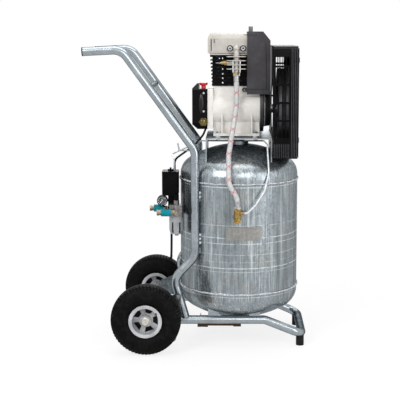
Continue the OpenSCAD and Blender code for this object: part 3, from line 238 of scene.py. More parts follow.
class Shading:
    """A tree of shader nodes. Each is made by node(), and the tree ends in what show() is given."""

    def __init__(self, tree, output):
        self.tree = tree
        tree.nodes.clear()
        self.output = tree.nodes.new("ShaderNode" + output)

    def feed(self, socket, value):
        """Links a Value to a socket, and sets anything else as the socket's own value."""
        if isinstance(value, Value):
            self.tree.links.new(value.socket, socket)
        elif socket.type == "RGBA" and len(value) == 3:
            socket.default_value = (*value, 1)
        else:
            socket.default_value = value

    def node(self, kind, settings=(), inputs=(), output=0):
        """A new node of a kind, with its settings made first and its sockets fed after them."""
        made = self.tree.nodes.new("ShaderNode" + kind)
        for key, value in dict(settings).items():
            setattr(made, key, value)
        for key, value in dict(inputs).items():
            self.feed(made.inputs[key], value)
        return Value(self, made.outputs[output])

    def show(self, surface):
        """Ends the tree in a surface, in place of the one before."""
        self.feed(self.output.inputs[0], surface)

    def seen_directly(self):
        """1 for rays from the camera, from gloss and through glass, and 0 for the light's rays."""
        camera, gloss, glass = (self.node("LightPath", output=name) for name in (
            "Is Camera Ray", "Is Glossy Ray", "Is Transmission Ray"))
        return camera.math("MAXIMUM", camera.math("MAXIMUM", camera, gloss), glass)


class Finish(Shading):
    """A material around one Principled shader, with the textures that feed it."""

    def __init__(self, name, **uniform):
        self.material = bpy.data.materials.new(name)
        self.material.use_nodes = True
        super().__init__(self.material.node_tree, "OutputMaterial")
        self.surface = self.node("BsdfPrincipled")
        self.shader = self.surface.socket.node
        self.show(self.surface)
        self.wear(**uniform)

    def vector(self, operation, *values):
        return self.node("VectorMath", {"operation": operation}, dict(enumerate(values)))

    def place(self, scale=(1, 1, 1), centre=(0, 0, 0)):
        """The point on the object, counted from centre and stretched by scale."""
        at = self.node("TexCoord", output="Object")
        return self.vector("MULTIPLY", self.vector("SUBTRACT", at, centre), scale)

    def length(self, vector):
        return self.node("VectorMath", {"operation": "LENGTH"}, {0: vector}, output="Value")

    def axis(self, vector, letter):
        """One part of a vector: X, Y or Z."""
        return self.node("SeparateXYZ", (), {0: vector}, output=letter)

    def along(self):
        """The piece's own two directions, in metres."""
        return self.node("UVMap", {"uv_map": "UVMap"})

    def noise(self, size, detail=3, rough=0.5, stretch=(1, 1, 1), warp=0.0):
        """Clouds from 0 to 1, about size metres wide, and longer where stretch is over 1."""
        return self.node("TexNoise", (), {
            "Vector": self.place([1 / s for s in stretch]), "Scale": 1 / size, "Detail": detail,
            "Roughness": rough, "Distortion": warp})

    def cells(self, size, output="Distance"):
        """Cells about size metres wide: the way to each one's centre, or a colour of its own."""
        return self.node("TexVoronoi", (), {"Vector": self.place(), "Scale": 1 / size},
                         output=output)

    def mix(self, factor, first, second):
        """first where factor is 0 and second where it is 1, for colours."""
        return self.node("Mix", {"data_type": "RGBA", "clamp_factor": True},
                         {"Factor": factor, 6: first, 7: second}, output=2)

    def wear(self, **sockets):
        """Feeds the shader's sockets, whose names are written here with underscores."""
        for socket, value in sockets.items():
            self.feed(self.shader.inputs[socket.replace("_", " ")], value)

    def bump(self, height, depth, strength, under=None):
        """Relief of the skin, depth metres at most, on top of another relief where there is one."""
        inputs = {"Height": height, "Distance": depth, "Strength": strength}
        if under is not None:
            inputs["Normal"] = under
        made = self.node("Bump", (), inputs)
        self.feed(self.shader.inputs["Normal"], made)
        return made


def scaled(colour, factor):
    """A lighter or darker shade of a colour."""
    return tuple(min(1.0, c * factor) for c in colour)


def colours():
    return bpy.context.scene.compressor_colours


def sizes():
    return bpy.context.scene.compressor_sizes


# ---- Finishes ----
def galvanised_plate(name):
    """Hot-dip zinc: crystals a few millimetres wide, fine run streaks down the shell, pale bloom,
    and broken scuff lines round the shell where slings and pallets rubbed it. The upright
    streaks and broad bands, pale and dark, are partly the zinc's own runs and partly painted
    reflections of light and dark surroundings."""
    c = colours()
    f = Finish(name, Metallic=0.86, Specular_IOR_Level=0.3,
               Specular_Tint=(0.35, 0.36, 0.37))
    cast = f.node("SeparateColor", (), {0: f.cells(0.009, output="Color")}, output=0)
    fine = f.noise(0.0035, 3, 0.6, stretch=(1, 1, 26))
    runs = f.noise(0.014, 4, 0.6, stretch=(1, 1, 22))
    reflection_bands = f.noise(0.075, 3, 0.5, stretch=(1, 1, 9))
    curds = f.noise(0.009, 6, 0.72)
    wide = f.noise(0.11, 4, 0.6, warp=0.8)
    z = f.axis(f.place(), "Z")
    broken = f.noise(0.03, 3, 0.6, stretch=(1, 1, 0.2)).step(0.34, 0.5)
    rings = 0
    for level, width in SCUFFS:
        rings = ((z - level).size() * -1 + width).step(0, 0.0008) + rings
    # Pale upright streaks: partly zinc runs and bloom, partly painted reflections of bright
    # surroundings.
    streaks = (fine.step(0.5, 0.7) * 0.6 + runs.step(0.54, 0.7) * 0.6
               + curds.step(0.56, 0.72) * wide.step(0.4, 0.6) * 0.55)
    pale = (streaks * (reflection_bands.step(0.3, 0.62) * 0.7 + 0.3) + rings * broken * 0.9).clamp()
    # Darker bands and runs: partly the zinc's own tone, partly painted reflections of dark
    # surroundings.
    dark = (reflection_bands.step(0.5, 0.34) * 0.6 + runs.step(0.47, 0.32) * 0.55
            + fine.step(0.46, 0.3) * 0.5 + wide.step(0.44, 0.3) * 0.3).clamp()
    base = f.mix(cast * 0.4 + fine * 0.5, scaled(c.galvanised, 0.72), scaled(c.galvanised, 1.12))
    base = f.mix(wide.step(0.5, 0.66) * 0.35, base, linear("958C82"))
    base = f.mix(dark * 0.7, base, scaled(c.galvanised, 0.38))
    f.wear(Base_Color=f.mix(pale, base, tuple(c.bloom)),
           Roughness=(cast * 0.1 + pale * 0.2 + wide * 0.12 + 0.16).clamp())
    grain = f.bump(cast, 0.0002, 0.2)
    f.bump(curds * 0.6 + runs + fine * 0.5, 0.0006, 0.25, grain)
    return f.material


def galvanised_tube(name):
    """Zinc on drawn tube: bright and satin, with a faint mottle and a few dull patches."""
    c = colours()
    f = Finish(name, Metallic=0.92, Specular_IOR_Level=0.3,
               Specular_Tint=(0.08, 0.083, 0.086))
    mottle = f.noise(0.006, 5, 0.6)
    patches = f.noise(0.05, 4, 0.6)
    dull = (patches.step(0.5, 0.72) * 0.5 + mottle.step(0.55, 0.8) * 0.25).clamp()
    base = f.mix(mottle.step(0.25, 0.75), scaled(c.tube, 0.86), scaled(c.tube, 1.08))
    base = f.mix(patches.step(0.5, 0.32) * 0.45, base, scaled(c.tube, 0.6))
    f.wear(Base_Color=f.mix(dull * 0.45, base, scaled(c.bloom, 0.9)),
           Roughness=dull * 0.16 + mottle * 0.06 + 0.18)
    f.bump(patches, 0.0006, 0.15)
    return f.material


def deck_plate(name):
    """Zinc on rolled sheet, scuffed and a little dusty where the machine stands on it."""
    c = colours()
    f = Finish(name, Metallic=0.8)
    fine = f.noise(0.004, 6, 0.6, stretch=(6, 1, 1))
    wide = f.noise(0.06, 4)
    base = f.mix(fine.step(0.3, 0.7), scaled(c.tube, 0.75), scaled(c.tube, 1.1))
    f.wear(Base_Color=f.mix(wide.step(0.45, 0.75) * 0.6, base, scaled(c.bloom, 0.85)),
           Roughness=wide * 0.25 + fine * 0.1 + 0.25)
    f.bump(fine + wide, 0.0004, 0.3)
    return f.material


def casting(name, colour, metallic, rough):
    """Sand-cast metal: grit from the mould, soft flow marks, and darker soot in the low grains."""
    f = Finish(name, Metallic=metallic)
    grit = 0.0011
    grains = f.noise(grit, 4, 0.6)
    flow = f.noise(0.022, 4, 0.55)
    pits = f.cells(grit * 4).step(0.12, 0.3)
    base = f.mix(grains.step(0.3, 0.68), scaled(colour, 0.82), scaled(colour, 1.08))
    base = f.mix(flow.step(0.42, 0.72) * 0.4, base, scaled(colour, 1.2))
    f.wear(Base_Color=f.mix((1 - pits) * 0.35, base, scaled(colour, 0.5)),
           Roughness=grains * 0.22 + flow * 0.16 + (rough - 0.18))
    skin = f.bump(grains + pits, 0.00035, 0.7)
    f.bump(flow, 0.0009, 0.35, skin)
    return f.material


def moulding(name, colour, rough, grain=0.0007, sheen=0.0, dust=0.12, shine=0.5):
    """Moulded plastic: a fine leathery grain, faint flow lines, and dust on its broad faces."""
    f = Finish(name, Coat_Weight=sheen, Coat_Roughness=0.3, IOR=1.48, Specular_IOR_Level=shine)
    skin = f.noise(grain, 3, 0.5)
    broad = f.noise(0.05, 4, 0.6)
    scuffs = f.noise(0.004, 4, 0.6, stretch=(5, 5, 0.8)).step(0.62, 0.72)
    base = f.mix(broad.step(0.35, 0.7), scaled(colour, 0.8), scaled(colour, 1.25))
    pale = tuple(0.75 * shade + 0.25 * 0.35 for shade in colour)
    dusty = (broad.step(0.5, 0.8) * dust + scuffs * dust * 0.8).clamp()
    f.wear(Base_Color=f.mix(dusty, base, pale),
           Roughness=skin * 0.14 + broad * 0.16 + scuffs * 0.1 + (rough - 0.16))
    f.bump(skin, 0.00012, 0.5)
    return f.material


def turned_metal(name, colour, rough, tarnish):
    """Turned and plated metal: fine tool lines, brighter rubbed spots and darker tarnish."""
    f = Finish(name, Metallic=0.95)
    lines = f.noise(0.0012, 3, 0.5)
    spots = f.noise(0.009, 5, 0.6)
    base = f.mix(spots.step(0.35, 0.68), scaled(colour, tarnish), scaled(colour, 1.12))
    f.wear(Base_Color=f.mix(lines.step(0.4, 0.7) * 0.35, base, scaled(colour, 1.3)),
           Roughness=spots * 0.2 + lines * 0.12 + (rough - 0.14))
    f.bump(lines, 0.00008, 0.5)
    return f.material


def valve_metals(name):
    """Safety valve: brass behind the split along X, and nickel from there to the pipe."""
    f = Finish(name, Metallic=0.95)
    lines = f.noise(0.0012, 3, 0.5)
    spots = f.noise(0.006, 4, 0.6)
    body = (f.axis(f.place(), "X") - SAFETY_SPLIT).step(0, 0.0004)
    tone = f.mix(body, tuple(colours().brass), linear("C9C8C4"))
    f.wear(Base_Color=f.mix(spots.step(0.45, 0.7) * 0.35, tone, linear("4A4337")),
           Roughness=spots * 0.2 + lines * 0.12 + 0.2)
    f.bump(lines, 0.00008, 0.5)
    return f.material


def fin_iron(name):
    """Black paint on cast fins, rubbed to bare bright metal in scattered specks."""
    f = Finish(name, Metallic=0.0, Specular_IOR_Level=0.05)
    grains = f.noise(0.0012, 4, 0.6)
    specks = f.cells(0.0042).step(0.17, 0.11) * f.noise(0.02, 3).step(0.45, 0.62)
    base = f.mix(grains.step(0.3, 0.7), linear("030304"), linear("0E0E10"))
    f.wear(Base_Color=f.mix(specks * 0.8, base, linear("B9BABD")),
           Roughness=grains * 0.2 + 0.36)
    f.bump(grains, 0.0003, 0.6)
    return f.material


def rubber_tread(centre):
    """Tyre rubber: rings of fine ribs on the sidewalls, a sine of the way out from the axle where
    that is near the wall's middle, with grey dust rubbed into the tread."""
    c = colours()
    f = Finish("rubber_tread", IOR=1.5, Specular_IOR_Level=0.06)
    reach = f.length(f.vector("MULTIPLY", f.place(centre=centre), (1, 0, 1)))
    wall = ((reach - 0.092).size() * -1 + 0.014).step(0, 0.003)
    rings = (reach * (2 * math.pi / 0.0022)).sine() * wall
    grain = f.noise(0.0012, 4, 0.6)
    dust = f.noise(0.018, 5, 0.65).step(0.42, 0.75) * (reach.step(0.112, 0.128) * 0.6 + 0.25)
    base = f.mix(grain.step(0.3, 0.7), scaled(c.rubber, 0.7), scaled(c.rubber, 1.3))
    f.wear(Base_Color=f.mix(dust * 0.22, base, linear("5A5650")),
           Roughness=grain * 0.15 + dust * 0.2 + 0.5)
    f.bump(grain + rings * 0.6, 0.0003, 0.6)
    return f.material


def hose_braid():
    """Braided hose: two sets of pale yarns that cross, with one red marker yarn in each set.
    A yarn of either set passes over the other where the product of their two waves is high."""
    c, s = colours(), sizes()
    f = Finish("hose_braid", IOR=1.45, Coat_Weight=0.25, Coat_Roughness=0.25)
    at = f.along()
    turn = f.axis(at, "X") / (math.pi * s.hose_diameter)
    length = f.axis(at, "Y") / s.tracer_pitch
    right, left = turn + length, turn - length
    yarns = 12
    over = (right * (2 * math.pi * yarns)).sine() * (left * (2 * math.pi * yarns)).sine()
    lie = ((right * yarns).fraction() - 0.5).size() + ((left * yarns).fraction() - 0.5).size()
    near_right = ((right.fraction() - 0.5).size() * -1 + 0.065).step(0, 0.012)
    near_left = ((left.fraction() - 0.5).size() * -1 + 0.045).step(0, 0.012)
    crossing = (near_right * over.step(-0.5, 0.0) + near_left * over.step(0.5, 0.0)).clamp()
    film = f.noise(0.01, 4, 0.6)
    base = f.mix(lie.step(0.15, 0.6), scaled(c.hose, 0.72), scaled(c.hose, 1.15))
    base = f.mix(film.step(0.4, 0.7) * 0.35, base, linear("DAD8D4"))
    f.wear(Base_Color=f.mix(crossing * 0.85, base, tuple(c.tracer)),
           Roughness=film * 0.2 + lie * 0.1 + 0.28)
    f.bump(over * 0.5 + lie, 0.0005, 0.7)
    return f.material


def sheath(name, colour, diameter):
    """Rubber cable sheath: faint ridges along it from the twisted cores, scuffs and dust."""
    f = Finish(name, IOR=1.5, Specular_IOR_Level=0.15)
    grain = f.noise(0.0008, 3, 0.5)
    scuffs = f.noise(0.006, 4, 0.65)
    twist = f.noise(diameter * 0.9, 2, 0.4, stretch=(1, 1, 2.5))
    base = f.mix(scuffs.step(0.4, 0.75), scaled(colour, 0.75), scaled(colour, 1.8))
    f.wear(Base_Color=base, Roughness=grain * 0.15 + scuffs * 0.2 + 0.36)
    f.bump(grain * 0.3 + twist, 0.0004, 0.4)
    return f.material


def belt_cloth(name):
    """Belt faced with rubbered cloth: a fine cross weave with worn, greyer flanks."""
    f = Finish(name, IOR=1.45, Specular_IOR_Level=0.3)
    at = f.place()
    across = (f.axis(at, "X") * (2 * math.pi / 0.0012)).sine()
    round_it = ((f.axis(at, "Y") + f.axis(at, "Z")) * (2 * math.pi / 0.0014)).sine()
    worn = f.noise(0.012, 5, 0.6)
    base = f.mix(worn.step(0.4, 0.75), linear("121213"), linear("3A3836"))
    f.wear(Base_Color=base, Roughness=worn * 0.2 + across * 0.04 + 0.6)
    f.bump(across * round_it, 0.0002, 0.6)
    return f.material


def milky_nylon(name, colour, tint):
    """Nylon tube: cloudy, with a faint cool tint in its clouds."""
    f = Finish(name, IOR=1.52, Coat_Weight=0.3, Coat_Roughness=0.15)
    cloud = f.noise(0.012, 4, 0.6)
    fine = f.noise(0.002, 3)
    f.wear(Base_Color=f.mix(cloud.step(0.35, 0.7), colour, tint),
           Roughness=fine * 0.15 + cloud * 0.1 + 0.2)
    f.bump(fine, 0.0001, 0.4)
    return f.material


def clear_glass(name, tint, rough=0.03, bend=1.49):
    """Clear moulded window with a faint smear in its gloss."""
    f = Finish(name, IOR=bend, Transmission_Weight=0.96, Base_Color=tint)
    smear = f.noise(0.008, 4, 0.6)
    f.wear(Roughness=smear.step(0.45, 0.8) * 0.08 + rough)
    f.bump(smear, 0.00004, 0.3)
    return f.material


def enamel(name, colour, rough=0.3, metallic=0.0, shine=0.5, gloss=0.3):
    """Sprayed enamel: orange-peel ripple and slight shade changes."""
    f = Finish(name, Metallic=metallic, Coat_Weight=gloss, Coat_Roughness=0.18,
               Specular_IOR_Level=shine)
    peel = f.noise(0.0018, 2, 0.4)
    broad = f.noise(0.04, 4, 0.6)
    f.wear(Base_Color=f.mix(broad.step(0.35, 0.7), scaled(colour, 0.82), scaled(colour, 1.18)),
           Roughness=broad * 0.2 + peel * 0.1 + (rough - 0.15))
    f.bump(peel, 0.00025, 0.5)
    return f.material


def finish_table():
    """Each finish's name with the function that makes it, what that function takes after the name,
    and the model's nodes that wear the finish."""
    c = colours()
    black = tuple(c.black)
    return {
        "galvanised_plate": (galvanised_plate, (), ["tank_shell", "tank_heads"]),
        "galvanised_tube": (galvanised_tube, (), [
            "right_side_tube", "left_side_tube", "handle_cross_bar", "base_tube", "axle_plates"]),
        "deck_plate": (deck_plate, (), ["platform"]),
        "plated_steel": (turned_metal, (linear("A6A7A9"), 0.34, 0.6), [
            "axle", "crankshaft", "motor_rotor", "mounting_hardware", "safety_ring",
            "hose_ferrules"]),
        "coupling_nickel": (turned_metal, (linear("9A8F80"), 0.24, 0.45), ["coupling_bodies"]),
        "dark_steel": (turned_metal, (linear("6A6B6D"), 0.4, 0.5), ["intake_stud"]),
        "valve_block": (turned_metal, (linear("8B8A8B"), 0.3, 0.5), ["regulator_body"]),
        "sight_brass": (turned_metal, (linear("5E552E"), 0.4, 0.6), ["oil_sight_glass"]),
        "cap_plate": (turned_metal, (linear("C2C1BA"), 0.3, 0.8), ["hub_caps"]),
        "soft_rubber": (moulding, (linear("0F0F10"), 0.62, 0.0011, 0, 0.1, 0.15), [
            "grip_end_plugs", "rubber_feet"]),
        "wheel_moulding": (moulding, (tuple(c.rim), 0.42, 0.0009, 0.1, 0.2), [
            "right_rim", "left_rim"]),
        "brass": (turned_metal, (tuple(c.brass), 0.26, 0.42), ["check_valve"]),
        "valve_metals": (valve_metals, (), ["safety_valve"]),
        "drain_bronze": (turned_metal, (linear("4A3A2B"), 0.36, 0.5), ["drain_valve"]),
        "red_moulding": (moulding, (tuple(c.red), 0.34, 0.0009, 0.3, 0.05), [
            "drain_lever", "oil_plug"]),
        "head_casting": (casting, (tuple(c.casting), 0.45, 0.42), [
            "cylinder_head", "discharge_manifold", "valve_plate"]),
        "crankcase_paint": (casting, (tuple(c.crankcase), 0.05, 0.5), ["crankcase"]),
        "cover_paint": (enamel, (linear("040405"), 0.22, 0, 0.08, 0.04), ["end_cover"]),
        "fin_iron": (fin_iron, (), ["cylinder_block"]),
        "wheel_iron": (casting, (linear("4C4D50"), 0.6, 0.4), ["flywheel", "motor_pulley"]),
        "shroud_moulding": (moulding, (tuple(c.shroud), 0.46, 0.001, 0, 0.1, 0.3), ["air_shroud"]),
        "motor_enamel": (enamel, (linear("191B1D"), 0.36, 0.1, 0.3, 0.1), [
            "motor_housing", "motor_fan_cowl", "terminal_box"]),
        "belt_cloth": (belt_cloth, (), ["drive_belt"]),
        "guard_moulding": (moulding, (black, 0.42, 0.001, 0, 0.015, 0.05), [
            "belt_guard_back", "belt_guard_front"]),
        "switch_moulding": (moulding, (black, 0.34, 0.0008, 0, 0.015, 0.05), [
            "switch_base", "switch_cover", "switch_knob", "regulator_knob", "gauge_case"]),
        "unloader_nylon": (milky_nylon, (linear("B9BCC0"), linear("DDDFE1")), ["unloader_tube"]),
        "needle_paint": (enamel, (linear("D9D9DC"), 0.35), ["gauge_needle"]),
        "bowl_moulding": (moulding, (linear("8C8E91"), 0.4, 0.0009, 0.2, 0.15), ["filter_bowl"]),
        "teal_sleeve": (enamel, (tuple(c.teal), 0.34, 0.0, 0.12, 0.04), [
            "right_coupling_sleeve", "left_coupling_sleeve"]),
    }


# ---- Surfaces ----
def grid_faces(rows, columns, loop_rows=False, loop_columns=False):
    """Quads between the points of a grid kept row by row. A looped way joins end to start."""
    i, j = np.meshgrid(np.arange(rows if loop_rows else rows - 1),
                       np.arange(columns if loop_columns else columns - 1), indexing="ij")
    down, right = (i + 1) % rows, (j + 1) % columns
    return np.stack([i * columns + j, i * columns + right, down * columns + right,
                     down * columns + j], -1).reshape(-1, 4)


def add_piece(name, surfaces, material, body, smooth=True, uv=None):
    """One object from surfaces, each a pair of points and faces. Without uv, points that meet are
    merged; the faces are turned outwards. uv holds two lengths for each point, in metres."""
    points, faces, start = [], [], 0
    for surface_points, surface_faces in surfaces:
        points.append(np.asarray(surface_points, float).reshape(-1, 3))
        faces += [[start + k for k in face] for face in (
            surface_faces.tolist() if isinstance(surface_faces, np.ndarray) else surface_faces)]
        start += len(points[-1])
    mesh = bpy.data.meshes.new(name)
    mesh.from_pydata(np.vstack(points).tolist(), [], faces)
    if uv is not None:
        corners = np.empty(len(mesh.loops), dtype=np.int32)
        mesh.loops.foreach_get("vertex_index", corners)
        layer = mesh.uv_layers.new(name="UVMap")
        layer.data.foreach_set("uv", np.asarray(uv, np.float32).reshape(-1, 2)[corners].ravel())
    shape = bmesh.new()
    shape.from_mesh(mesh)
    if uv is None:
        bmesh.ops.remove_doubles(shape, verts=shape.verts, dist=1e-6)
    bmesh.ops.recalc_face_normals(shape, faces=shape.faces)
    shape.to_mesh(mesh)
    shape.free()
    mesh.polygons.foreach_set("use_smooth", np.full(len(mesh.polygons), smooth))
    if smooth:
        mesh.set_sharp_from_angle(angle=math.radians(42))
    mesh.materials.append(material)
    piece = bpy.data.objects.new(name, mesh)
    bpy.context.scene.collection.objects.link(piece)
    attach(piece, body)
    return piece


def lathe(profile, start, direction, steps=64, lobes=0, lobe_depth=0.0):
    """A profile of (distance along, radius) pairs turned round a line. With lobes, the radius also
    swells and sinks lobes times in a turn, by lobe_depth of itself."""
    along, radius = np.asarray(profile, float).T
    way = np.array(Vector(direction).normalized())
    side = np.array(Vector(direction).orthogonal().normalized())
    other = np.cross(way, side)
    turn = np.linspace(0, 2 * math.pi, steps, endpoint=False)
    swell = 1 + lobe_depth * np.cos(lobes * turn)
    ring = np.cos(turn)[:, None] * side + np.sin(turn)[:, None] * other
    points = (np.asarray(start, float) + along[:, None, None] * way
              + radius[:, None, None] * swell[None, :, None] * ring[None])
    return points, grid_faces(len(along), steps, loop_columns=True)


def lathe_ring(profile, start, direction, steps):
    """A turned ring: its profile's last point joins its first, so that the bore is closed too."""
    points, faces = lathe(profile, start, direction, steps)
    last = (len(profile) - 1) * steps
    bore = [[j, (j + 1) % steps, last + (j + 1) % steps, last + j] for j in range(steps)]
    return points, faces.tolist() + bore


def sweep(line, outline, up, loop=False, swell=None):
    """An outline carried along a line: each point of the outline is a part across and a part along
    up, and swell scales it at each place on the line. Open ends are closed with flat faces."""
    line = np.asarray(line, float)
    if loop:
        way = np.roll(line, -1, 0) - np.roll(line, 1, 0)
    else:
        way = np.gradient(line, axis=0)
    way /= np.linalg.norm(way, axis=1)[:, None]
    up = np.broadcast_to(np.asarray(up, float), line.shape)
    across = np.cross(way, up)
    across /= np.linalg.norm(across, axis=1)[:, None]
    rise = np.cross(across, way)
    swell = np.ones(len(line)) if swell is None else swell
    outline = np.asarray(outline, float)
    points = (line[:, None] + swell[:, None, None] * (outline[None, :, :1] * across[:, None]
                                                      + outline[None, :, 1:] * rise[:, None]))
    faces = grid_faces(len(line), len(outline), loop_rows=loop, loop_columns=True).tolist()
    if not loop:
        faces += [list(range(len(outline)))[::-1],
                  list(range((len(line) - 1) * len(outline), len(line) * len(outline)))]
    return points, faces


def circle(radius, sides):
    """Points round a circle, as an outline for sweep."""
    turn = np.linspace(0, 2 * math.pi, sides, endpoint=False)
    return np.stack([np.cos(turn), np.sin(turn)], -1) * radius


def bent_line(corners, radius, step):
    """Straight runs with a round bend at each corner, as points step apart. A bend is the arc
    about its centre from where it leaves one run to where it meets the next."""
    corners = np.asarray(corners, float)
    pieces = [corners[:1]]
    for before, at, after in zip(corners, corners[1:], corners[2:]):
        u = (at - before) / np.linalg.norm(at - before)
        v = (after - at) / np.linalg.norm(after - at)
        turn = math.acos(np.clip(u @ v, -1, 1))
        reach = radius * math.tan(turn / 2)
        start, end = at - u * reach, at + v * reach
        centre = at + (v - u) / np.linalg.norm(v - u) * radius / math.cos(turn / 2)
        t = np.linspace(0, 1, 16)[:, None]
        pieces.append(centre + (np.sin((1 - t) * turn) * (start - centre)
                                + np.sin(t * turn) * (end - centre)) / math.sin(turn))
    line = np.vstack(pieces + [corners[-1:]])
    length = run_along(line)
    even = np.linspace(0, length[-1], int(length[-1] / step) + 1)
    return np.stack([np.interp(even, length, line[:, k]) for k in range(3)], -1)


def run_along(line):
    """How far each point lies along the line from its start."""
    return np.append(0, np.cumsum(np.linalg.norm(np.diff(line, axis=0), axis=1)))


def line_length(line):
    """The whole length of a line of points."""
    return float(np.linalg.norm(np.diff(line, axis=0), axis=1).sum())


def smooth_curve(points):
    """A cubic through the points. At each it runs parallel to the chord between its neighbours,
    with handles a third as long as the two runs beside it. Gives handles and close points on it."""
    p = np.asarray(points, float)
    way = np.gradient(p, axis=0)
    way /= np.linalg.norm(way, axis=1)[:, None]
    run = np.linalg.norm(np.diff(p, axis=0), axis=1)[:, None]
    left = p - way * np.vstack([run[:1], run]) / 3
    right = p + way * np.vstack([run, run[-1:]]) / 3
    t = np.linspace(0, 1, 16, endpoint=False)[:, None, None]
    close = ((1 - t) ** 3 * p[:-1] + 3 * (1 - t) ** 2 * t * right[:-1]
             + 3 * (1 - t) * t ** 2 * left[1:] + t ** 3 * p[1:])
    return left, right, np.vstack([close.transpose(1, 0, 2).reshape(-1, 3), p[-1:]])


def add_cord(name, points, diameter, material, body):
    """A curve of one open spline through the points, with a round section."""
    left, right, close = smooth_curve(points)
    curve = bpy.data.curves.new(name, "CURVE")
    curve.dimensions = "3D"
    curve.resolution_u = 6
    curve.bevel_depth = diameter / 2
    curve.bevel_resolution = 5
    curve.use_fill_caps = True
    spline = curve.splines.new("BEZIER")
    spline.bezier_points.add(len(points) - 1)
    spline.bezier_points.foreach_set("co", np.asarray(points, float).ravel())
    for knot in spline.bezier_points:
        knot.handle_left_type = knot.handle_right_type = "FREE"
    spline.bezier_points.foreach_set("handle_left", left.ravel())
    spline.bezier_points.foreach_set("handle_right", right.ravel())
    curve.materials.append(material)
    piece = bpy.data.objects.new(name, curve)
    bpy.context.scene.collection.objects.link(piece)
    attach(piece, body)
    return piece, line_length(close)


def smooth_step(x, low, high):
    """0 below low, 1 above high, and the cubic 3 t t - 2 t t t between them."""
    t = np.clip((x - low) / (high - low), 0, 1)
    return t * t * (3 - 2 * t)


# ---- Operators ----
class CompressorPiece:
    """What every operator here shares: it runs on the loaded model and can be undone."""
    bl_options = {"REGISTER", "UNDO"}

    @classmethod
    def poll(cls, context):
        return context.scene is not None


def add_lamp(name, at, size, power):
    """A rectangular white lamp at a place, turned to the middle of the compressor."""
    lamp = bpy.data.lights.new(name, "AREA")
    lamp.shape = "RECTANGLE"
    lamp.size, lamp.size_y = size
    lamp.energy = power
    holder = bpy.data.objects.new(name, lamp)
    holder.location = at
    holder.rotation_euler = (Vector(LAMP_TARGET) - holder.location).to_track_quat(
        "-Z", "Y").to_euler()
    bpy.context.scene.collection.objects.link(holder)


class COMPRESSOR_OT_stage(CompressorPiece, bpy.types.Operator):
    """Camera, lamps, floor and surroundings"""
    bl_idname = "compressor.stage"
    bl_label = "Stage"

    def execute(self, context):
        scene, stage = context.scene, context.scene.compressor_stage
        scene.view_settings.view_transform = "Standard"
        lens = bpy.data.cameras.new("camera")
        lens.lens, lens.sensor_width = stage.focal_length, 36
        lens.dof.use_dof = False
        camera = bpy.data.objects.new("camera", lens)
        camera.location = Vector((TANK_X, 0, 0)) + Vector(CAMERA_AT)
        camera.rotation_euler = (math.radians(CAMERA_TILT), 0, math.radians(CAMERA_TURN))
        lens.shift_x, lens.shift_y = CAMERA_SHIFT
        scene.collection.objects.link(camera)
        scene.camera = camera
        for name, at, size in LAMPS:
            add_lamp(name, at, size, getattr(stage, name + "_power"))
        self.surroundings(scene, stage)
        self.floor(stage)
        return {"FINISHED"}

    def surroundings(self, scene, stage):
        """Light from all round, with plain white behind for the camera, gloss and glass."""
        scene.world = scene.world or bpy.data.worlds.new("studio")
        scene.world.use_nodes = True
        sky = Shading(scene.world.node_tree, "OutputWorld")
        soft = sky.node("Background", (), {"Color": (1, 1, 1), "Strength": stage.ambient})
        plain = sky.node("Background", (), {"Color": stage.paper})
        sky.show(sky.node("MixShader", (), {0: sky.seen_directly(), 1: soft, 2: plain}))

    def floor(self, stage):
        """White paper that shows as white, and keeps a faint shadow near the compressor."""
        paper = Finish("paper", Roughness=0.9, Specular_IOR_Level=0.1)
        fibre = paper.noise(0.004, 4)
        paper.wear(Base_Color=paper.mix(fibre, (0.86, 0.86, 0.86), (0.9, 0.9, 0.9)))
        glow = paper.node("Emission", (), {"Color": stage.paper})
        away = paper.length(paper.place())
        seen = paper.seen_directly() * (away.step(0.7, 1.5) * 0.2 + 0.8)
        paper.show(paper.node("MixShader", (), {0: seen, 1: paper.surface, 2: glow}))
        mesh = bpy.data.meshes.new("floor")
        corners = [(x * FLOOR_REACH, y * FLOOR_REACH, FLOOR_LEVEL)
                   for x, y in ((-1, -1), (1, -1), (1, 1), (-1, 1))]
        mesh.from_pydata(corners, [], [(0, 1, 2, 3)])
        mesh.materials.append(paper.material)
        floor = bpy.data.objects.new("floor", mesh)
        bpy.context.scene.collection.objects.link(floor)


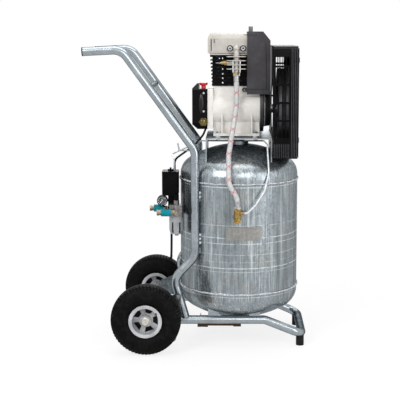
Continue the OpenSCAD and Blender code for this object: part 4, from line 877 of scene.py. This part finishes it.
class COMPRESSOR_OT_mains_lead(CompressorPiece, bpy.types.Operator):
    """Mains cord from the switch down to its coil on the floor, its strain relief and its plug"""
    bl_idname = "compressor.mains_lead"
    bl_label = "Mains lead"

    def coil(self):
        """Two turns inwards on top, half a turn down inside, and two turns outwards on the floor.
        The angle falls evenly; radius and height follow the turn by straight runs between stops."""
        t = np.linspace(0.06, 4.49, 76)
        radius = np.interp(t, [0, 0.3, 0.534, 1.0, 1.534, 2.0, 2.25, 2.5, 4.534],
                           [60.4, 55.0, 51.5, 49.0, 41.8, 39.3, 38.4, 40.3, 59.8])
        height = 14.3 - 9.4 * smooth_step(t, 2.0, 2.5)
        angle = np.radians(-77.6) - 2 * math.pi * t
        return np.stack([COIL_CENTRE[0] + radius * np.cos(angle),
                         COIL_CENTRE[1] + radius * np.sin(angle), height], -1)

    def execute(self, context):
        """A curve down the route, round the coil and up to the plug, and a turned strain relief of
        six ribs that grow thinner towards the cord."""
        size = sizes().mains_diameter
        rubber = sheath("mains_rubber", linear("0B0B0C"), size)
        hard = moulding("plug_moulding", linear("171718"), 0.42, 0.0009, 0.15)
        rise = [(-344, 465.4, 5.2), (-334, 465.8, 8.4), (-324, 465.4, 14.0), (-311, 464.6, 18.3),
                (-300, 464.1, 19.1)]
        route = place(np.vstack([MAINS_ROUTE, self.coil(), rise]))
        cord, length = add_cord("mains_lead", route, size, rubber, "compressor")
        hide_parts("mains_cord", "mains_cord_coil")
        relief = [(0, 0), (0, 8.4), (3, 8.4), (4, 7.2)]
        for k in range(6):
            relief += [(6 + 5 * k, 7.2 - 0.35 * k), (8.2 + 5 * k, 7.2 - 0.35 * k),
                       (8.9 + 5 * k, 5.4 - 0.1 * k), (10.4 + 5 * k, 5.4 - 0.1 * k)]
        relief += [(37, 4.9), (37, 0)]
        collar = add_piece("mains_strain_relief", [lathe(
            np.array(relief) / 1000, place([-266, -29.4, 590]), (0, 1, 0), 48)],
            hard, "compressor")
        plug = self.plug(hard)
        return {"FINISHED"}

    def plug(self, hard):
        """A moulded body lying on the floor: a ribbed sleeve, a waisted grip with eight shallow
        flutes, and a flat round face with two pins."""
        start = place(PLUG_START)
        sleeve = [(0.022, 0), (0.022, 0.0062)]
        for k in range(3):
            on, out = 0.004 * k, 0.0007 * k
            sleeve += [(0.0245 + on, 0.0066 + out), (0.0262 + on, 0.0066 + out),
                       (0.0266 + on, 0.0056 + out), (0.0280 + on, 0.0056 + out)]
        sleeve += [(0.038, 0.0100), (0.0385, 0)]
        grip = [(0.036, 0), (0.036, 0.0105), (0.040, 0.0145), (0.047, 0.0166), (0.056, 0.0158),
                (0.064, 0.0160), (0.069, 0.0176), (0.071, 0.0176)]
        face = [(0.070, 0), (0.070, 0.0184), (0.071, 0.0189), (0.079, 0.0189), (0.080, 0.0183),
                (0.080, 0.0165), (0.0785, 0.0160), (0.0785, 0)]
        body = add_piece("mains_plug_body", [
            lathe(sleeve, start, (1, 0, 0), 40),
            lathe(grip + [(0.071, 0)], start, (1, 0, 0), 96, 8, 0.035),
            lathe(face, start, (1, 0, 0), 96)], hard, "compressor")
        steel = turned_metal("pin_metal", linear("B5B3AE"), 0.25, 0.7)
        pin = [(0.078, 0), (0.078, 0.0024), (0.0962, 0.0024), (0.0982, 0.0018), (0.0988, 0.0008),
               (0.0989, 0)]
        pins = add_piece("mains_plug_pins", [
            lathe(pin, start + (0, y, 0), (1, 0, 0), 24) for y in (-0.0095, 0.0095)],
            steel, "compressor")
        pins.parent = body
        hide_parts("mains_plug")
        return body


class COMPRESSOR_OT_motor_cable(CompressorPiece, bpy.types.Operator):
    """Cable from the motor's terminal box to the pressure switch"""
    bl_idname = "compressor.motor_cable"
    bl_label = "Motor cable"

    def execute(self, context):
        """A curve along straight runs with a round bend at each corner."""
        size = sizes().cable_diameter
        line = bent_line(place(MOTOR_CABLE_ROUTE), 0.03, 0.016)
        rubber = sheath("motor_cable_rubber", linear("0B0B0C"), size)
        cable, length = add_cord("motor_cable_run", line, size, rubber, "compressor")
        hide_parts("motor_cable")
        return {"FINISHED"}


class COMPRESSOR_OT_air_hose(CompressorPiece, bpy.types.Operator):
    bl_idname = "compressor.air_hose"
    bl_label = "Air hose"

    def execute(self, context):
        """A circle carried along the bent route. The UV map holds the way round it and the way
        along it, in metres, and the circle's last column lies on its first."""
        size = sizes().hose_diameter
        line = bent_line(place(HOSE_ROUTE), 0.06, 0.002)
        sides = 48
        turn = np.linspace(0, 2 * math.pi, sides + 1)
        outline = np.stack([np.cos(turn), np.sin(turn)], -1) * size / 2
        points, _ = sweep(line, outline, (1, 0, 0))
        faces = grid_faces(len(line), sides + 1)
        uv = np.stack(np.broadcast_arrays(turn[None] * size / 2, run_along(line)[:, None]), -1)
        hose = add_piece("air_hose", [(points, faces)], hose_braid(), "compressor", uv=uv)
        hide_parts("discharge_hose")
        return {"FINISHED"}


class COMPRESSOR_OT_tyres(CompressorPiece, bpy.types.Operator):
    """Tyres with lugs on both shoulders, and the valve stem of each wheel"""
    bl_idname = "compressor.tyres"
    bl_label = "Tyres"

    def outline(self):
        """Half outline of the tyre as (radius, half width) from the tread's middle to the bead,
        worked out from straight runs and made round by a cubic through them."""
        half = [(0.1296, 0.0), (0.1294, 0.010), (0.1286, 0.020), (0.1268, 0.0275), (0.1236, 0.0312),
                (0.1180, 0.0345), (0.1100, 0.0390), (0.1000, 0.0416), (0.0890, 0.0424),
                (0.0780, 0.0408), (0.0690, 0.0362), (0.0625, 0.0322), (0.0595, 0.0300),
                (0.0572, 0.0270), (0.0572, 0.0180)]
        stops = np.array(half)
        _, _, close = smooth_curve(np.pad(stops, ((0, 0), (0, 1))))
        run = run_along(close)
        even = np.concatenate([np.linspace(0, 0.045, 34, endpoint=False),
                               np.linspace(0.045, run[-1], 16)])
        return np.stack([np.interp(even, run, close[:, k]) for k in range(2)], -1), even

    def tread(self, side):
        """Radius and width turned round the axle. Between lugs the surface sinks inwards: a lug is
        where the turn, counted in lugs and slanted towards the shoulder, is near the middle of its
        step, and the two shoulders are half a lug apart. Two thin wavy grooves run beside the
        middle rib, and a plain band closes the ring at the beads."""
        s = sizes()
        half, run = self.outline()
        way = np.gradient(half, axis=0)
        way /= np.linalg.norm(way, axis=1)[:, None]
        centre = wheel_centre(side)
        steps, slant = s.lugs * 12, 16
        turn = np.linspace(0, 2 * math.pi, steps, endpoint=False)[:, None]
        sheets = []
        for hand in (1, -1):
            phase = turn / (2 * math.pi) * s.lugs + run[None] * slant + (0 if hand > 0 else 0.5)
            saw = np.abs((phase % 1) - 0.5)
            shoulder = smooth_step(run, 0.0145, 0.0165) * (1 - smooth_step(run, 0.036, 0.043))
            gap = smooth_step(saw, 0.30, 0.36) * shoulder[None]
            zigzag = 0.0085 + 0.0016 * np.abs(((phase + 0.25) % 1) - 0.5)
            groove = 1 - smooth_step(np.abs(run[None] - zigzag), 0.0009, 0.0017)
            sink = s.lug_depth * gap + 0.003 * groove
            radius = half[:, 0] - sink * way[:, 1].clip(0.15, 1)
            width = (half[:, 1] - sink * (-way[:, 0]).clip(0, 1) * 0.6) * hand
            sheets.append((np.stack([centre[0] + radius * np.cos(turn), centre[1] + width,
                                     centre[2] + radius * np.sin(turn)], -1),
                           grid_faces(steps, len(run), loop_rows=True)))
        band = np.array([half[-1], half[-1] * (1, -1)])
        ring = np.stack([centre[0] + band[None, :, 0] * np.cos(turn),
                         centre[1] + np.broadcast_to(band[None, :, 1], (steps, 2)),
                         centre[2] + band[None, :, 0] * np.sin(turn)], -1)
        return sheets + [(ring, grid_faces(steps, 2, loop_rows=True))]

    def execute(self, context):
        """Each tyre is the sheets of tread(), and each stem a stepped profile turned round a line
        along Y."""
        for name, side in (("right", -1), ("left", 1)):
            rubber = rubber_tread(wheel_centre(side).tolist())
            tyre = add_piece(name + "_tread", self.tread(side), rubber, name + "_wheel")
            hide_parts(name + "_tyre")
            start = wheel_centre(side) + (0.0392, side * 0.015, 0.0294)
            stem = [(0, 0), (0, 0.0042), (0.006, 0.0042), (0.007, 0.0030), (0.020, 0.0028),
                    (0.0205, 0.0038), (0.0275, 0.0038), (0.0285, 0.0030), (0.0285, 0)]
            add_piece(name + "_valve_stem", [lathe(stem, start, (0, side, 0), 32)],
                      moulding(name + "_stem_rubber", linear("161617"), 0.5), name + "_wheel")
        return {"FINISHED"}


class COMPRESSOR_OT_welds(CompressorPiece, bpy.types.Operator):
    """Rippled weld beads round the tank's seams and where the tubes meet the tank"""
    bl_idname = "compressor.welds"
    bl_label = "Weld beads"

    def seam(self, level):
        """A low oval carried round the shell. It swells with a cosine, once for each ripple, and
        its height wavers with a sine."""
        radius = TANK_R - 0.0006
        count = int(2 * math.pi * TANK_R / sizes().ripple)
        turn = np.linspace(0, 2 * math.pi, count * 6, endpoint=False)
        wave = 1 + 0.2 * np.cos(turn * count) + 0.08 * np.sin(turn * 37)
        line = np.stack([TANK_X + radius * np.cos(turn), radius * np.sin(turn),
                         level + 0.0006 * np.sin(turn * 23)], -1)
        return sweep(line, circle(0.0030, 10) * (1, 0.62), line - (TANK_X, 0, level), True, wave)

    def drop(self, side, level):
        """A bead of zinc on the shell, thickest in its middle as the root of a sine."""
        t = np.linspace(0, 1, 90)
        y = side * (TANK_R ** 2 - DROP_X ** 2) ** 0.5
        line = np.stack([np.full(90, TANK_X + DROP_X), np.full(90, y),
                         level - 0.0055 + 0.011 * t], -1)
        wave = 0.3 + 0.7 * np.sin(math.pi * t) ** 0.5
        return sweep(line, circle(0.0046, 12), (DROP_X, y, 0), False, wave)

    def execute(self, context):
        add_piece("weld_beads", [self.seam(level) for level in (shell_low[2], shell_high[2])],
                  turned_metal("weld_bead", linear("B4B8BC"), 0.36, 0.6), "compressor")
        # The drops' near-white, brighter and less metallic than the zinc round them, paints their
        # highlights.
        add_piece("tube_welds", [self.drop(side, level) for side in (-1, 1)
                                 for level in DROP_LEVELS],
                  casting("zinc_drops", linear("E2E6E8"), 0.15, 0.35), "compressor")
        return {"FINISHED"}


class COMPRESSOR_OT_data_plate(CompressorPiece, bpy.types.Operator):
    """Bare plate riveted to the tank"""
    bl_idname = "compressor.data_plate"
    bl_label = "Bare plate"

    def execute(self, context):
        """A thin strip with cut edges carried along an arc of the shell, and a rounded rivet
        turned round the shell's own normal near each corner."""
        zinc = turned_metal("plate_metal", linear("908F8C"), 0.34, 0.8)
        middle, half, low, high = math.radians(-85), 0.066 / TANK_R, 0.418, 0.468
        turn = np.linspace(middle - half, middle + half, 60)
        radius = TANK_R + 0.0004
        line = np.stack([TANK_X + radius * np.cos(turn), radius * np.sin(turn),
                         np.full(len(turn), (low + high) / 2)], -1)
        outward = line - (TANK_X, 0, (low + high) / 2)
        edge = np.array([(-1, -1), (1, -1), (1, 0.3), (0.985, 1), (-0.985, 1), (-1, 0.3)])
        parts = [sweep(line, edge * ((high - low) / 2, 0.0005), outward)]
        rivet = [(0, 0), (0, 0.0027), (0.0008, 0.0024), (0.0014, 0.0013), (0.0016, 0)]
        for at in (middle - half * 0.9, middle + half * 0.9):
            out = np.array([math.cos(at), math.sin(at), 0])
            for z in (low + 0.006, high - 0.006):
                foot = np.array([TANK_X, 0, z]) + out * (radius + 0.0002)
                parts.append(lathe(rivet, foot, out, 20))
        add_piece("bare_plate", parts, zinc, "compressor")
        return {"FINISHED"}


class COMPRESSOR_OT_gauge_dial(CompressorPiece, bpy.types.Operator):
    """Dial of the pressure gauge with its marks, and the window in front of it"""
    bl_idname = "compressor.gauge_dial"
    bl_label = "Gauge dial"

    def execute(self, context):
        """A flat disc, 25 bars that point at its middle over three quarters of a turn, every
        fourth of them long, and a shallow bowl as the window."""
        centre = place([-290, -92, 545])
        paint = enamel("dial_paint", linear("17171C"), 0.5)
        ink = enamel("dial_ink", linear("DAD8E4"), 0.5)
        glass = clear_glass("gauge_window", (0.95, 0.97, 0.98), bend=1.12)
        add_piece("gauge_dial_face", [lathe([(-0.0003, 0), (-0.0003, 0.0177), (0.0003, 0.0177),
                                             (0.0003, 0)], centre, RIGHTWARD, 64)],
                  paint, "compressor")
        marks = []
        for k in range(25):
            turn = math.radians(225 - 270 * k / 24)
            long = k % 4 == 0
            out = np.array([math.cos(turn), 0, math.sin(turn)])
            start = centre + out * (0.0118 if long else 0.0138) + (0, -0.00045, 0)
            line = start + np.linspace(0, 0.0036 if long else 0.0016, 3)[:, None] * out
            marks.append(sweep(line, np.array([(-1, -1), (1, -1), (1, 1), (-1, 1)])
                               * (0.00035 if long else 0.0002, 0.0001), RIGHTWARD))
        add_piece("gauge_marks", marks, ink, "compressor", smooth=False)
        window = [(0.0040, 0), (0.0040, 0.0176), (0.0046, 0.0178), (0.0051, 0.0150),
                  (0.0055, 0.0100), (0.0057, 0.0050), (0.0058, 0)]
        add_piece("gauge_glass", [lathe(window, centre, RIGHTWARD, 64)], glass, "compressor")
        return {"FINISHED"}


class COMPRESSOR_OT_sight_window(CompressorPiece, bpy.types.Operator):
    """Window of the oil level glass"""
    bl_idname = "compressor.sight_window"
    bl_label = "Sight window"

    def execute(self, context):
        """A shallow turned bowl, with a small disc behind it as the level's mark."""
        centre = place([-133, -113, 845])
        glass = clear_glass("oil_window", (0.85, 0.62, 0.22), 0.05)
        add_piece("oil_window", [lathe([(-0.0005, 0), (-0.0005, 0.0092), (0.0008, 0.0092),
                                        (0.0016, 0.0070), (0.0021, 0.0035), (0.0022, 0)],
                                       centre, RIGHTWARD, 48)], glass, "compressor")
        dot = enamel("level_mark", linear("8E1018"), 0.4)
        add_piece("level_mark", [lathe([(-0.0006, 0), (-0.0006, 0.0034), (-0.0002, 0.0034),
                                        (-0.0002, 0)], centre, RIGHTWARD, 32)],
                  dot, "compressor")
        return {"FINISHED"}


def dome(centre, half_wide, half_high, rise, steps=28, sides=64):
    """A swelling on a wall that faces -Y: an ellipse whose height falls from the middle as the
    square root of one less the square of the way out."""
    out = np.sin(np.linspace(0, math.pi / 2, steps))[:, None]
    turn = np.linspace(0, 2 * math.pi, sides, endpoint=False)[None]
    points = np.stack([centre[0] + half_wide * out * np.cos(turn),
                       centre[1] - rise * np.sqrt(1 - out ** 2) + 0 * turn,
                       centre[2] + half_high * out * np.sin(turn)], -1)
    back = list(range((steps - 1) * sides, steps * sides))
    return points, grid_faces(steps, sides, loop_columns=True).tolist() + [back]


def screw_head(radius, height):
    """Profile of a round screw head with a recess half as wide as the head."""
    recess = radius * 0.5
    return [(-0.001, 0), (-0.001, radius), (height * 0.75, radius), (height, radius * 0.86),
            (height, recess), (height * 0.45, recess * 0.9), (height * 0.45, 0)]


class COMPRESSOR_OT_pump_details(CompressorPiece, bpy.types.Operator):
    """Screws, bosses and covers of the pump that are too small for the model's nodes"""
    bl_idname = "compressor.pump_details"
    bl_label = "Pump details"

    def screws(self, bright, black):
        """Screws of the end cover, and a dark ring on each screw of the flange with a black disc in
        front as the painted shade of its socket.
        """
        head = screw_head(0.0042, 0.003)
        add_piece("pump_screws", [lathe(head, place([-132, -105, z]), RIGHTWARD, 32)
                                  for z in (952, 884)], bright, "compressor")
        ring = [(0, 0.0086), (0, 0.0118), (0.0010, 0.0118), (0.0014, 0.0110), (0.0014, 0.0086)]
        # Black disc in front of each flange screw: painted shade of its socket.
        socket = [(0, 0), (0, 0.0034), (0.0006, 0.0034), (0.0006, 0)]
        parts = [lathe_ring(ring, place([x, -109.8, FLANGE_SCREW_Z]), RIGHTWARD, 40)
                 for x in FLANGE_SCREW_X]
        parts += [lathe(socket, place([x, -115.0, FLANGE_SCREW_Z]), RIGHTWARD, 24)
                  for x in FLANGE_SCREW_X]
        add_piece("flange_rings", parts, black, "compressor")
        post = [(0, 0), (0, 0.0026), (0.046, 0.0026), (0.046, 0)]
        add_piece("manifold_posts", [lathe(post, place([-10 + side * 13, -140, 1029.5]), UP, 20)
                                     for side in (-1, 1)], bright, "compressor")

    def head_slots(self, black):
        """Two black upright rods sunk into the head's right side, as painted shade in its grooves.
        """
        low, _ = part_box("cylinder_head")
        slots = []
        for inset, level, tall in ((0.0135, 1.108, 0.042), (0.0245, 1.136, 0.016)):
            rod = [(0, 0), (0, 0.0010), (0.0010, 0.0017), (tall - 0.001, 0.0017), (tall, 0.0010),
                   (tall, 0)]
            slots.append(lathe(rod, (low[0] + inset, low[1] + 0.0008, level), UP, 20))
        add_piece("head_slots", slots, black, "compressor")

    def gasket(self, black):
        """A flat strip carried round the valve plate's upper edge, facing out from each side."""
        low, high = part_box("valve_plate")
        corners = [(low[0], low[1]), (high[0], low[1]), (high[0], high[1]), (low[0], high[1])]
        edge = np.array([np.add(corner, np.subtract(after, corner) * step)
                         for corner, after in zip(corners, corners[1:] + corners[:1])
                         for step in np.linspace(0.02, 0.98, 24)])
        middle = (np.array(low[:2]) + high[:2]) / 2
        reach = (np.array(high[:2]) - low[:2]) / 2
        out = np.sign(edge - middle) * (np.abs(edge - middle) > reach - 1e-6)
        strip = [(-0.0009, -0.001), (0.0009, -0.001), (0.0009, 0.0008), (-0.0009, 0.0008)]
        seam = np.column_stack([edge, np.full(len(edge), high[2])])
        add_piece("head_gasket", [sweep(seam, strip, np.pad(out, ((0, 0), (0, 1))), True)], black,
                  "compressor", smooth=False)

    def shroud_lip(self):
        """A thin lip on the air shroud's face: along its foot, up its side and under its top. It is
        darker than the shroud, as painted shade along it.
        """
        low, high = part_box("air_shroud")
        face = low[1] + 0.0002
        foot = [(x, face, low[2] + 0.019) for x in np.linspace(low[0] + 0.003, high[0] - 0.004, 8)]
        upright = [(high[0] - 0.0135 - 0.004 * t * t, face, low[2] + 0.021 + 0.165 * t)
                   for t in np.linspace(0, 1, 20)]
        top = [(low[0] + 0.004 + 0.050 * t, face, high[2] - 0.012 - 0.002 * t)
               for t in np.linspace(0, 1, 8)]
        edge = [(-0.0012, -0.0006), (0.0012, -0.0006), (0.0008, 0.0008), (-0.0008, 0.0008)]
        add_piece("shroud_lip", [sweep(line, edge, RIGHTWARD) for line in (foot, upright, top)],
                  moulding("lip_moulding", linear("17161A"), 0.4, 0.001, 0, 0.05, 0.15),
                  "compressor", smooth=False)

    def bosses(self, bright, black):
        """Bright bosses between the fins, and the long bulge on the end cover."""
        boss = [(0, 0), (0, 0.0030), (0.0035, 0.0029), (0.0045, 0.0018), (0.0048, 0)]
        small = [(0, 0), (0, 0.0022), (0.003, 0.002), (0.004, 0)]
        parts = [lathe(boss, place([-61, -92.5, z]), RIGHTWARD, 24)
                 for z in (1080, 1062, 1041, 1023, 1007, 990)]
        parts += [lathe(small, place([-73, -92.5, z]), RIGHTWARD, 24) for z in (1080, 1062)]
        add_piece("fin_bosses", parts, bright, "compressor")
        add_piece("cover_bulge", [dome(place([-141, -104.5, 913]), 0.0105, 0.038, 0.0065)],
                  black, "compressor")

    def execute(self, context):
        bright = turned_metal("screw_metal", linear("C6C7C8"), 0.26, 0.75)
        black = enamel("boss_paint", linear("060607"), 0.24, 0, 0.2, 0.2)
        self.screws(bright, black)
        self.head_slots(black)
        self.gasket(black)
        self.shroud_lip()
        self.bosses(bright, black)
        nut = [(0, 0.0085), (0, 0.0135), (0.001, 0.0142), (0.010, 0.0142), (0.011, 0.0135),
               (0.011, 0.0085)]
        add_piece("hose_nut", [lathe_ring(nut, place([-10, -125, 1019]), UP, 6)],
                  turned_metal("nut_brass", linear("B08B46"), 0.3, 0.6), "compressor",
                  smooth=False)
        cover = [(0, 0.021), (0, 0.088), (0.004, 0.090), (0.012, 0.090), (0.014, 0.087),
                 (0.014, 0.072), (0.018, 0.070), (0.036, 0.068), (0.040, 0.064), (0.040, 0.021)]
        add_piece("bearing_cover", [lathe_ring(cover, place([78.2, -30, 893]), (1, 0, 0), 96)],
                  casting("bearing_iron", linear("0C0C0E"), 0.1, 0.45), "compressor")
        return {"FINISHED"}


class COMPRESSOR_OT_guard_ribs(CompressorPiece, bpy.types.Operator):
    """Upright ribs moulded on the belt guard's ends, in a grey that paints their highlights"""
    bl_idname = "compressor.guard_ribs"
    bl_label = "Guard ribs"

    def execute(self, context):
        """A rounded outline carried up each end wall: five ribs over the front half's height, and
        nine short ones at the foot of the back half."""
        # The ribs' grey, lighter than the black guard, paints the highlights along them.
        moulded = moulding("rib_moulding", linear("333338"), 0.24, 0.001, 0, 0.1, 0.6)
        low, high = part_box("belt_guard_front")
        back_low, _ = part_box("belt_guard_back")
        outline = np.array([(-0.0013, -0.001), (0.0013, -0.001), (0.0011, 0.0014), (0.0005, 0.0020),
                            (-0.0005, 0.0020), (-0.0011, 0.0014)])
        ribs = []
        for wall, out in ((low[1], -1), (high[1], 1)):
            full = np.linspace(low[0] + 0.005, high[0] - 0.003, 5)
            short = np.linspace(back_low[0] + 0.006, low[0] - 0.004, 9)
            for x, bottom, top in ([(x, low[2] + 0.008, high[2] - 0.008) for x in full]
                                   + [(x, low[2] + 0.008, low[2] + 0.058) for x in short]):
                line = np.array([(x, wall, z) for z in np.linspace(bottom, top, 6)])
                ribs.append(sweep(line, outline, (0, out, 0)))
        add_piece("guard_ribs", ribs, moulded, "compressor", smooth=False)
        return {"FINISHED"}


class COMPRESSOR_OT_wheel_shade_discs(CompressorPiece, bpy.types.Operator):
    """Black disc inside each rim as painted shade behind its openings, and the dark inner bowl
    of the filter
    """
    bl_idname = "compressor.wheel_wells"
    bl_label = "Dark insides"

    def execute(self, context):
        """A thin disc turned round the middle of each wheel, and a cup turned round the filter's
        axis."""
        for name, side in (("right", -1), ("left", 1)):
            # The black disc paints the shade that fills the rim's openings.
            black = moulding(name + "_well_moulding", linear("0A0A0B"), 0.55, 0.001, 0, 0.1, 0.12)
            ring = [(-0.001, 0.0), (-0.001, 0.050), (0.001, 0.050), (0.001, 0.0)]
            add_piece(name + "_wheel_well", [lathe(ring, wheel_centre(side), (0, 1, 0), 96)],
                      black, name + "_wheel")
        smoke = moulding("bowl_smoke", linear("15171A"), 0.2, 0.001, 0.3, 0.05, 0.4)
        wall = [(0, 0), (0, 0.0226), (0.004, 0.0236), (0.046, 0.0236), (0.046, 0)]
        add_piece("inner_bowl", [lathe(wall, place([-234, -125, 430]), UP, 64)], smoke,
                  "compressor")
        return {"FINISHED"}


class COMPRESSOR_OT_finishes(CompressorPiece, bpy.types.Operator):
    """Finish of every node of the model that is shown as it is"""
    bl_idname = "compressor.finishes"
    bl_label = "Finishes"

    def execute(self, context):
        bare = set(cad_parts) - set(REPLACED)
        for name, (make, given, nodes) in finish_table().items():
            material = make(name, *given)
            for node in nodes:
                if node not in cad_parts:
                    raise RuntimeError("the model has no node " + node)
                bare.discard(node)
                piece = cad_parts[node]
                for holder in piece.material_slots:
                    holder.material = material
                if not piece.material_slots:
                    piece.data.materials.append(material)
        if bare:
            raise RuntimeError("no finish for " + ", ".join(sorted(bare)))
        return {"FINISHED"}


class COMPRESSOR_PT_sidebar(bpy.types.Panel):
    bl_idname = "COMPRESSOR_PT_sidebar"
    bl_label = "Air compressor"
    bl_space_type = "VIEW_3D"
    bl_region_type = "UI"
    bl_category = "Compressor"

    def draw(self, context):
        for group in ("compressor_colours", "compressor_sizes", "compressor_stage"):
            box = self.layout.box()
            settings = getattr(context.scene, group)
            for name in settings.__annotations__:
                box.prop(settings, name)
        for operator in OPERATORS:
            self.layout.operator(operator.bl_idname)


OPERATORS = (COMPRESSOR_OT_stage, COMPRESSOR_OT_mains_lead, COMPRESSOR_OT_motor_cable,
             COMPRESSOR_OT_air_hose, COMPRESSOR_OT_tyres, COMPRESSOR_OT_welds,
             COMPRESSOR_OT_data_plate, COMPRESSOR_OT_gauge_dial, COMPRESSOR_OT_sight_window,
             COMPRESSOR_OT_pump_details, COMPRESSOR_OT_guard_ribs, COMPRESSOR_OT_wheel_shade_discs,
             COMPRESSOR_OT_finishes)
CLASSES = (CompressorColours, CompressorSizes, CompressorStage, *OPERATORS, COMPRESSOR_PT_sidebar)


def register():
    for cls in CLASSES:
        bpy.utils.register_class(cls)
    bpy.types.Scene.compressor_colours = PointerProperty(type=CompressorColours)
    bpy.types.Scene.compressor_sizes = PointerProperty(type=CompressorSizes)
    bpy.types.Scene.compressor_stage = PointerProperty(type=CompressorStage)


def unregister():
    for name in ("compressor_colours", "compressor_sizes", "compressor_stage"):
        delattr(bpy.types.Scene, name)
    for cls in reversed(CLASSES):
        bpy.utils.unregister_class(cls)


def main():
    register()
    for operator in OPERATORS:
        name = operator.bl_idname.split(".")[1]
        getattr(bpy.ops.compressor, name)()
    bpy.context.view_layer.update()


if __name__ == "__main__":
    main()
